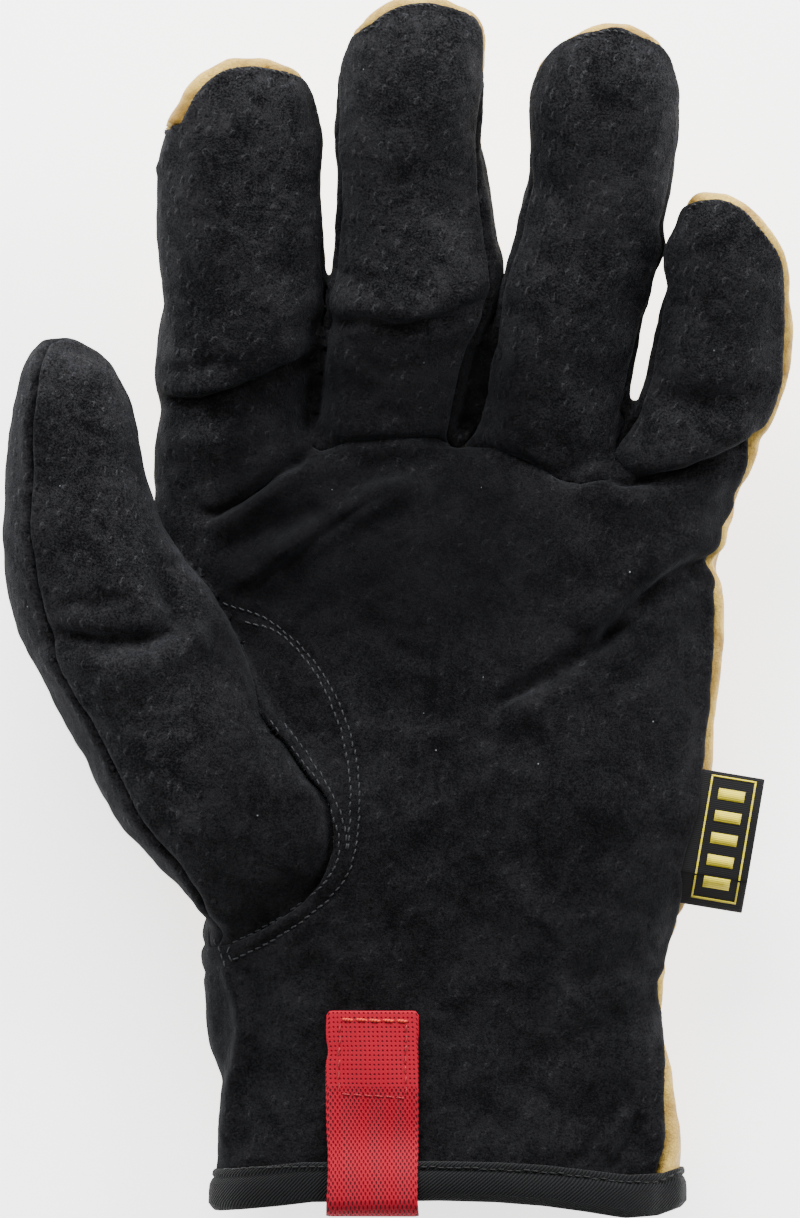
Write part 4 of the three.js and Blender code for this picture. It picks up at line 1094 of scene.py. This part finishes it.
def bindingShape():
    cuff = rowAt("hand", hand["hem"] + 3)
    centre = ((cuff[0] + cuff[1]) / 2, (cuff[2] + cuff[3]) / 2)
    halfWide, halfDeep = (cuff[1] - cuff[0]) / 2, (cuff[3] - cuff[2]) / 2
    angles = []
    for step in range(tape["around"]):  # even steps along the oval, not of the angle
        turn = 2 * math.pi * step / tape["around"]
        angles.append(math.atan2(halfDeep * math.sin(turn), halfWide * math.cos(turn)))
    reaches = {}
    for y in (-79.5, -82.5, -85.0):
        lengths = [hemRing(y, angle, centre) for angle in angles]
        known = [length for length in lengths if length]
        lengths = np.array([length or sum(known) / len(known) for length in lengths])
        lengths = np.max([np.roll(lengths, shift) for shift in range(-5, 6)], axis=0)
        for _ in range(3):
            lengths = np.convolve(np.pad(lengths, 3, mode="wrap"), np.ones(7) / 7, mode="valid")
        reaches[y] = lengths
    levels = sorted(reaches)
    rings, around = [], 0.0
    uv, points = [], []
    lastPlace = None
    for step, angle in enumerate(angles):
        x = centre[0] + reaches[-82.5][step] * math.cos(angle)
        drop = float(hemWave(np.array([x]))[0])
        place = (reaches[-82.5][step] * math.cos(angle), reaches[-82.5][step] * math.sin(angle))
        around += 0 if lastPlace is None else math.dist(place, lastPlace)
        lastPlace = place
        reach = lambda y: float(np.interp(y - drop, levels, [reaches[level][step] for level in levels]))
        thick, puff = tape["thick"], tape["puff"] * (1 + 0.5 * noise.noise(Vector((x / 6, angle * 2, 1.0))))
        top, low = tape["outTop"] + drop * 0.8, tape["low"] + drop
        inner = skin["leather"] + 0.15
        profile = [  # y and distance out from the skin, down the outside, round the edge and up the inside
            (top, 0.15), (top - 0.1, thick * 0.7), (top - 0.6, thick), (top - 1.3, thick + 0.05),
            (top - 1.8, thick - tape["groove"]), (top - 2.3, thick), (top - 3.2, thick + 0.8 * puff),
            (top - 4.6, thick + puff), (low + 1.6, thick + puff), (low + 0.6, thick * 0.7),
            (low + 0.1, thick * 0.1), (low, -inner / 2), (low + 0.1, -inner - thick * 0.1),
            (low + 0.6, -inner - thick * 0.7), (low + 1.6, -inner - thick - 0.1),
            (tape["inTop"] + drop * 0.8, -inner - thick), (tape["inTop"] + drop * 0.8, -inner),
            (low + 2.0, -inner), (low + 1.2, -inner / 2), (low + 2.0, 0.1),
        ]
        run = 0.0
        for index, (y, out) in enumerate(profile):
            r = reach(y) + out
            points.append((centre[0] + r * math.cos(angle), y, max(centre[1] + r * math.sin(angle), -0.2)))
            if index:
                run += math.dist(profile[index], profile[index - 1])
            uv.append((around, -run))
        rings.append(len(profile))
    count, size = len(angles), rings[0]
    faces = []
    for step in range(count):
        following = (step + 1) % count
        for index in range(size):
            beyond = (index + 1) % size
            here, there = step * size, following * size
            faces.append((here + index, here + beyond, there + beyond, there + index))
    return np.array(points), faces, uv


bindingPoints, bindingFaces, bindingUv = bindingShape()
addPiece("twillBinding", bindingPoints, bindingFaces, twill, ["cuff_binding"], bindingUv)
bindingTree = BVHTree.FromPolygons(bindingPoints.tolist(), [tuple(face) for face in bindingFaces])
print("hem bound")

# pull loop: webbing sewn flat to the palm, over the binding and back up the inside

pull = {"left": -23.6, "right": -4.7, "top": -48.2, "low": -90.1, "insideTop": -66, "thick": 1.25, "wave": 0.15,
        "corner": 0.9, "dentAt": -56.5, "dent": 0.55}


def topAt(x, y, over=0.35):  # height of whatever lies uppermost
    start, down = Vector((x, y, 200)), Vector((0, 0, -1))
    heights = [hit.z for hit in (tree.ray_cast(start, down)[0] for tree in (skinTree, bindingTree)) if hit]
    return (max(heights) if heights else 0) + over


def pullShape():
    across, points, uv, faces = 34, [], [], []
    insideDrop = skin["leather"] + 2.6
    columns = []
    for step in range(across + 1):
        share = step / across
        x = pull["left"] + (pull["right"] - pull["left"]) * share
        edge = abs(share - 0.5) * 2
        inCorner = max(0.0, pull["left"] + pull["corner"] - x, x - pull["right"] + pull["corner"])
        drawnIn = pull["corner"] - math.sqrt(max(pull["corner"] ** 2 - inCorner**2, 0))
        lowest = pull["low"] + 0.15 * drawnIn
        run = []
        for y in np.linspace(pull["top"] - drawnIn, -87.6, 72):
            run.append((y, topAt(x, y) + 0.15 - 0.3 * edge**6 * (1 if y > -79 else 0.3)))
        heights = np.array([z for _, z in run])
        for _ in range(3):  # the webbing is too stiff to follow each dip
            heights = np.convolve(np.pad(heights, 6, mode="edge"), np.ones(13) / 13, mode="valid")
        run = [(y, z) for (y, _), z in zip(run, heights)]
        lastY, lastZ = run[-1]
        radius = (insideDrop + 1.2) / 2
        for turn in np.linspace(0.18, math.pi, 9):
            run.append((lastY - (lastY - lowest) * math.sin(turn), lastZ - radius * (1 - math.cos(turn))))
        for y in np.arange(-86.0, pull["insideTop"], 0.9):
            run.append((y, lastZ - 2 * radius))
        column = []
        for y, z in run:
            sway = pull["wave"] * noise.noise(Vector((step * 0.1, y / 3.2, 2.0))) * edge**3
            dent = pull["dent"] * math.exp(-(((y - pull["dentAt"]) / 1.8) ** 2)) * (1 - share) ** 3
            column.append((x + sway + dent, y, z))
        columns.append(column)
    for step, column in enumerate(columns):
        travelled = 0.0
        for index, place in enumerate(column):
            if index:
                travelled += math.dist(place[1:], column[index - 1][1:])
            points.append(place)
            uv.append((step / across * (pull["right"] - pull["left"]), -travelled))
    size = len(columns[0])
    for step in range(across):
        for index in range(size - 1):
            a = step * size + index
            faces.append((a, a + 1, a + size + 1, a + size))
    return np.array(points), faces, uv


pullPoints, pullFaces, pullUv = pullShape()
addPiece("webbingPullLoop", pullPoints, pullFaces, webbing, ["pull_tab"], pullUv, pull["thick"], 1.0)
pullTree = BVHTree.FromPolygons((pullPoints + [0, 0, pull["thick"]]).tolist(), [tuple(face) for face in pullFaces])
print("pull loop laid")

# side label: folded damask sewn into the little finger's side seam, with a plain frame and bars

label = {
    "corners": ((705, 769), (765, 779), (682, 904), (740, 914)), "sunk": 4.0, "thick": 0.9, "droop": 1.2,
    "frame": (7.5, 53.0, 4.0, 128.5), "line": 1.7, "bars": 5, "barFrom": 17.0, "barTo": 43.5, "barWide": 11.0,
}


def labelHeight(x, y):  # height of the seam that holds the label
    seamHeight, _ = seamHeights(np.array([[x, y, 20.0]]))
    return float(seamHeight[0])


def labelPoint(across, down, lift=0.0):  # pixels across and down the label, and millimetres above it
    (ax, ay), (bx, by) = (spot(label["corners"][index]) for index in (0, 1))
    cx, cy = spot(label["corners"][2])
    scale = view["millimetresPerPixel"]
    wide, tall = math.dist((ax, ay), (bx, by)), math.dist((ax, ay), (cx, cy))
    s, t = across * scale / wide, down * scale / tall
    x = ax + (bx - ax) * s + (cx - ax) * t
    y = ay + (by - ay) * s + (cy - ay) * t
    rootX, rootY = ax + (cx - ax) * t, ay + (cy - ay) * t
    curl = 0.35 * math.sin(t * 2.6 + 0.4) * max(s, 0) - label["droop"] * max(s, 0) ** 1.6
    return (x, y, labelHeight(rootX - 1.5, rootY) + 1.2 + curl + lift)


def labelSheet(box, lift, step=4.0):  # a grid of the label's cloth over a box of pixels
    left, right, top, bottom = box
    columns = max(2, int((right - left) / step) + 1)
    rows = max(2, int((bottom - top) / step) + 1)
    points, uv, faces = [], [], []
    for row in np.linspace(top, bottom, rows):
        for column in np.linspace(left, right, columns):
            points.append(labelPoint(column, row, lift))
            uv.append((column * view["millimetresPerPixel"], -row * view["millimetresPerPixel"]))
    for r in range(rows - 1):
        for c in range(columns - 1):
            a = r * columns + c
            faces.append((a, a + columns, a + columns + 1, a + 1))
    return points, faces, uv


labelWidth = math.dist(*label["corners"][:2])
labelTall = math.dist(label["corners"][0], label["corners"][2])
sunk = label["sunk"] / view["millimetresPerPixel"]
labelPoints, labelFaces, labelUv = labelSheet((-sunk, labelWidth, 0, labelTall), 0.0)
labelPiece = addPiece("damaskLabel", labelPoints, labelFaces, labelCloth, ["side_label"], labelUv,
                      label["thick"], -1.0)
rounded = labelPiece.modifiers.new("softEdges", "BEVEL")
rounded.width = 0.3 * mm
rounded.segments = 2
left, right, top, bottom = label["frame"]
line = label["line"]
boxes = [(left, right, top, top + line), (left, right, bottom - line, bottom),
         (left, left + line, top + line, bottom - line), (right - line, right, top + line, bottom - line)]
pitch = (bottom - top) / (label["bars"] + 0.6)
for bar in range(label["bars"]):
    middleRow = top + pitch * (bar + 0.8)
    boxes.append((label["barFrom"], label["barTo"], middleRow - label["barWide"] / 2, middleRow + label["barWide"] / 2))
markPoints, markFaces, markUv = [], [], []
for box in boxes:
    points, faces, uv = labelSheet(box, 0.07, 6.0)
    start = len(markPoints)
    markPoints += points
    markUv += uv
    markFaces += [tuple(i + start for i in face) for face in faces]
addPiece("labelFrameAndBars", markPoints, markFaces, labelYellow, None, markUv, 0.12, 0.0)
print("label sewn in")

# stitches: each a short length of thread that dips into the cloth at both ends


def evenly(path, pitch, closed=False):  # pairs of places along a path of millimetre points, one stitch apart
    path = np.array(path + [path[0]] if closed else path, dtype=float)
    lengths = np.concatenate([[0], np.cumsum(np.linalg.norm(np.diff(path, axis=0), axis=1))])
    count = max(2, int(round(lengths[-1] / pitch)))
    stops = np.linspace(0, lengths[-1], count + 1)
    return np.stack([np.interp(stops, lengths, path[:, axis]) for axis in range(path.shape[1])], 1)


def rounded2D(path, rounds=3):  # corner cutting, so that a path of a few points runs smoothly
    path = np.array(path, dtype=float)
    for _ in range(rounds):
        first, last = path[:1], path[-1:]
        cutPath = np.empty((2 * len(path) - 2, 2))
        cutPath[0::2] = 0.75 * path[:-1] + 0.25 * path[1:]
        cutPath[1::2] = 0.25 * path[:-1] + 0.75 * path[1:]
        path = np.concatenate([first, cutPath, last])
    return path.tolist()


stitch = {"sides": 6, "wander": 0.3}


def stitchMesh(rows, radius):  # capsules along rows of (start, end, up)
    points, faces = [], []
    profile = [  # share of the length, size and height
        (0.0, 0.25, -0.9), (0.12, 0.8, -0.15), (0.32, 1.0, 0.35), (0.68, 1.0, 0.35), (0.88, 0.8, -0.15),
        (1.0, 0.25, -0.9)]
    for start, end, up in rows:
        direction = end - start
        direction /= max(np.linalg.norm(direction), 1e-6)
        side = np.cross(direction, up)
        side /= max(np.linalg.norm(side), 1e-6)
        over = np.cross(side, direction)
        base = len(points)
        for share, size, height in profile:
            centre = start + (end - start) * share + over * height * radius
            for corner in range(stitch["sides"]):
                angle = 2 * math.pi * corner / stitch["sides"]
                points.append(centre + (side * math.cos(angle) * 1.1 + over * math.sin(angle)) * radius * size)
        count = stitch["sides"]
        for ring in range(len(profile) - 1):
            for corner in range(count):
                following = (corner + 1) % count
                a, b = base + ring * count, base + (ring + 1) * count
                faces.append((a + corner, a + following, b + following, b + corner))
        faces.append(tuple(base + corner for corner in reversed(range(count))))
        faces.append(tuple(base + (len(profile) - 1) * count + corner for corner in range(count)))
    return points, faces


def sewn(name, paths, pitch, material, slotName, ground, radius=0.2, lift=0.0, slant=0.0, fill=0.8):
    rows = []
    for path in paths:
        stops = evenly(rounded2D(path), pitch)
        for start, end in zip(stops[:-1], stops[1:]):
            run = end - start
            aside = np.array([-run[1], run[0]]) / max(np.linalg.norm(run), 1e-6)
            wander = stitch["wander"] * noise.noise(Vector((start[0], start[1], 5.0))) * aside
            spare = (1 - fill) / 2 * run
            first = ground(*(start + spare + wander + slant * aside))
            second = ground(*(end - spare + wander - slant * aside))
            if first[0] is None or second[0] is None or abs(first[0][2] - second[0][2]) > pitch:
                continue
            up = (first[1] + second[1]) / 2
            rows.append((first[0] + up * lift, second[0] + up * lift, up))
    points, faces = stitchMesh(rows, radius)
    return addPiece(name, points, faces, material, None)


def inFrontView(paths):
    return [[spot(pixel) for pixel in path] for path in paths]


topstitches = [
    [(270, 719), (288, 742), (309, 768), (327, 795), (335, 820), (341, 845), (335, 868), (322, 886), (290, 912),
     (262, 928), (232, 943)],
    [(283, 722), (302, 746), (321, 774), (336, 800), (345, 825), (347, 850)],
    [(222, 603), (260, 614), (292, 636), (322, 670), (341, 705), (353, 740), (359, 775), (360, 815), (355, 850),
     (350, 870), (335, 893), (308, 917), (270, 942), (232, 960)],
    [(244, 622), (275, 628), (304, 655), (326, 690), (341, 728), (349, 765), (351, 800), (348, 850)],
    [(230, 945), (226, 953), (233, 962)], [(214, 938), (222, 955), (226, 967)],
]
sewn("palmTopstitching", inFrontView(topstitches), 1.75, threads["grey"], "black_suede", onTree(skinTree),
     0.17, 0.03, 0.12)
hemStitchPath = [(214, 1170), (240, 1167), (330, 1165), (440, 1166), (500, 1168), (560, 1172), (620, 1181),
                 (655, 1183), (682, 1170)]
sewn("hemStitching", inFrontView([hemStitchPath]), 1.8, threads["black"], "black_twill", onTree(bindingTree),
     0.17, 0.04)
sewn("pullLoopTopStitching", inFrontView([[(341, 1019), (409, 1020)]]), 2.7,
     threads["orange"], "red_webbing", onTree(pullTree), 0.3, 0.02, 0.12, 0.97)
boxRows = [[(340, 1022), (339, 1092)], [(341, 1093), (406, 1097)], [(406, 1023), (406, 1095)]]
sewn("pullLoopBoxStitching", inFrontView(boxRows), 2.3, threads["red"], "red_webbing", onTree(pullTree), 0.17, 0.0,
     0.08, 0.9)


def tipEdge(name, turnFrom, turnTo, inset):  # the tan leather's edge round a finger's tip, a little inside it
    rows = rowsOf[name]
    tipY = rows[-1, 0] - 13
    edge = backShape["points"][np.abs(backShape["fields"]["palm"]) < 0.02]
    left, right = rowAt(name, tipY)[:2]
    centreX = (left + right) / 2
    beside = np.abs(edge[:, 0] - centreX) < (right - left) / 2 + 2
    near = edge[(edge[:, 1] > tipY - 6) & (edge[:, 1] < rows[-1, 0] + 3) & beside]
    angles = np.degrees(np.arctan2(near[:, 1] - tipY, near[:, 0] - centreX))
    order = np.argsort(angles)
    chosen = [index for index in order if turnFrom <= angles[index] <= turnTo]
    places = near[chosen][::3, :2]
    toCentre = np.array([centreX, tipY]) - places
    return (places + toCentre / np.linalg.norm(toCentre, axis=1)[:, None] * inset).tolist()


tipTurns = {"index": (42, 176), "middle": (66, 150), "ring": (58, 128), "little": (10, 150)}
tipPaths = [tipEdge(name, turnFrom, turnTo, 0.95) for name, (turnFrom, turnTo) in tipTurns.items()]
sewn("tipStitching", tipPaths, 1.5, threads["black"], "black_suede", onTree(skinTree), 0.2, 0.1, 0.25, 0.6)
elasticRows = [[(-44, row), (-20, row - 0.4), (10, row + 0.3), (42, row)] for row in elastic["rows"]]
sewn("elasticStitching", elasticRows, 2.4, threads["brown"], "tan_leather", onTree(skinTree, 1),
     0.24)
print("stitches sewn")

# floor, light and camera

studio = {"floor": "#f9f9f9", "glow": 2.2, "world": 0.6}  # the sweep is lit from below, as for a cut-out picture
floorCorners = [(-3000, -3000, -0.3), (3000, -3000, -0.3), (3000, 3000, -0.3), (-3000, 3000, -0.3)]
floorMesh = meshFrom("floor", floorCorners, [(0, 1, 2, 3)])
paper, _, _ = newMaterial("whitePaperSweep", {
    "Base Color": linear(studio["floor"]), "Roughness": 0.9,
    "Emission Color": (1, 1, 1, 1), "Emission Strength": studio["glow"]})
floorMesh.materials.append(paper)
floor = bpy.data.objects.new("floor", floorMesh)
bpy.context.scene.collection.objects.link(floor)

world = bpy.data.worlds.new("studio")
world.use_nodes = True
world.node_tree.nodes["Background"].inputs["Color"].default_value = (1, 1, 1, 1)
world.node_tree.nodes["Background"].inputs["Strength"].default_value = studio["world"]
bpy.context.scene.world = world


def softbox(name, place, target, size, watts):
    light = bpy.data.lights.new(name, "AREA")
    light.shape = "RECTANGLE"
    light.size, light.size_y = size
    light.energy = watts
    lamp = bpy.data.objects.new(name, light)
    lamp.location = place
    lamp.rotation_euler = (Vector(target) - Vector(place)).to_track_quat("-Z", "Y").to_euler()
    bpy.context.scene.collection.objects.link(lamp)


softbox("topLight", (-0.2, 0.75, 0.55), (0, 0.03, 0.02), (0.7, 0.4), 22)
softbox("leftLight", (-0.9, 0.1, 0.4), (0, 0.03, 0.02), (0.4, 0.9), 5)
softbox("rightLight", (0.75, 0.6, 0.5), (0.03, 0.08, 0.02), (0.4, 0.6), 22)

camera = bpy.data.cameras.new("camera")
camera.sensor_fit = "VERTICAL"
camera.sensor_height = 36
height = view["pixels"][1] * view["millimetresPerPixel"] * mm
camera.lens = 36 * (view["distance"] - 0.02) / height
camera.clip_end = 100
eye = bpy.data.objects.new("camera", camera)
middleSpot = spot((view["pixels"][0] / 2, view["pixels"][1] / 2))
eye.location = (middleSpot[0] * mm, middleSpot[1] * mm, view["distance"])
bpy.context.scene.collection.objects.link(eye)
bpy.context.scene.camera = eye
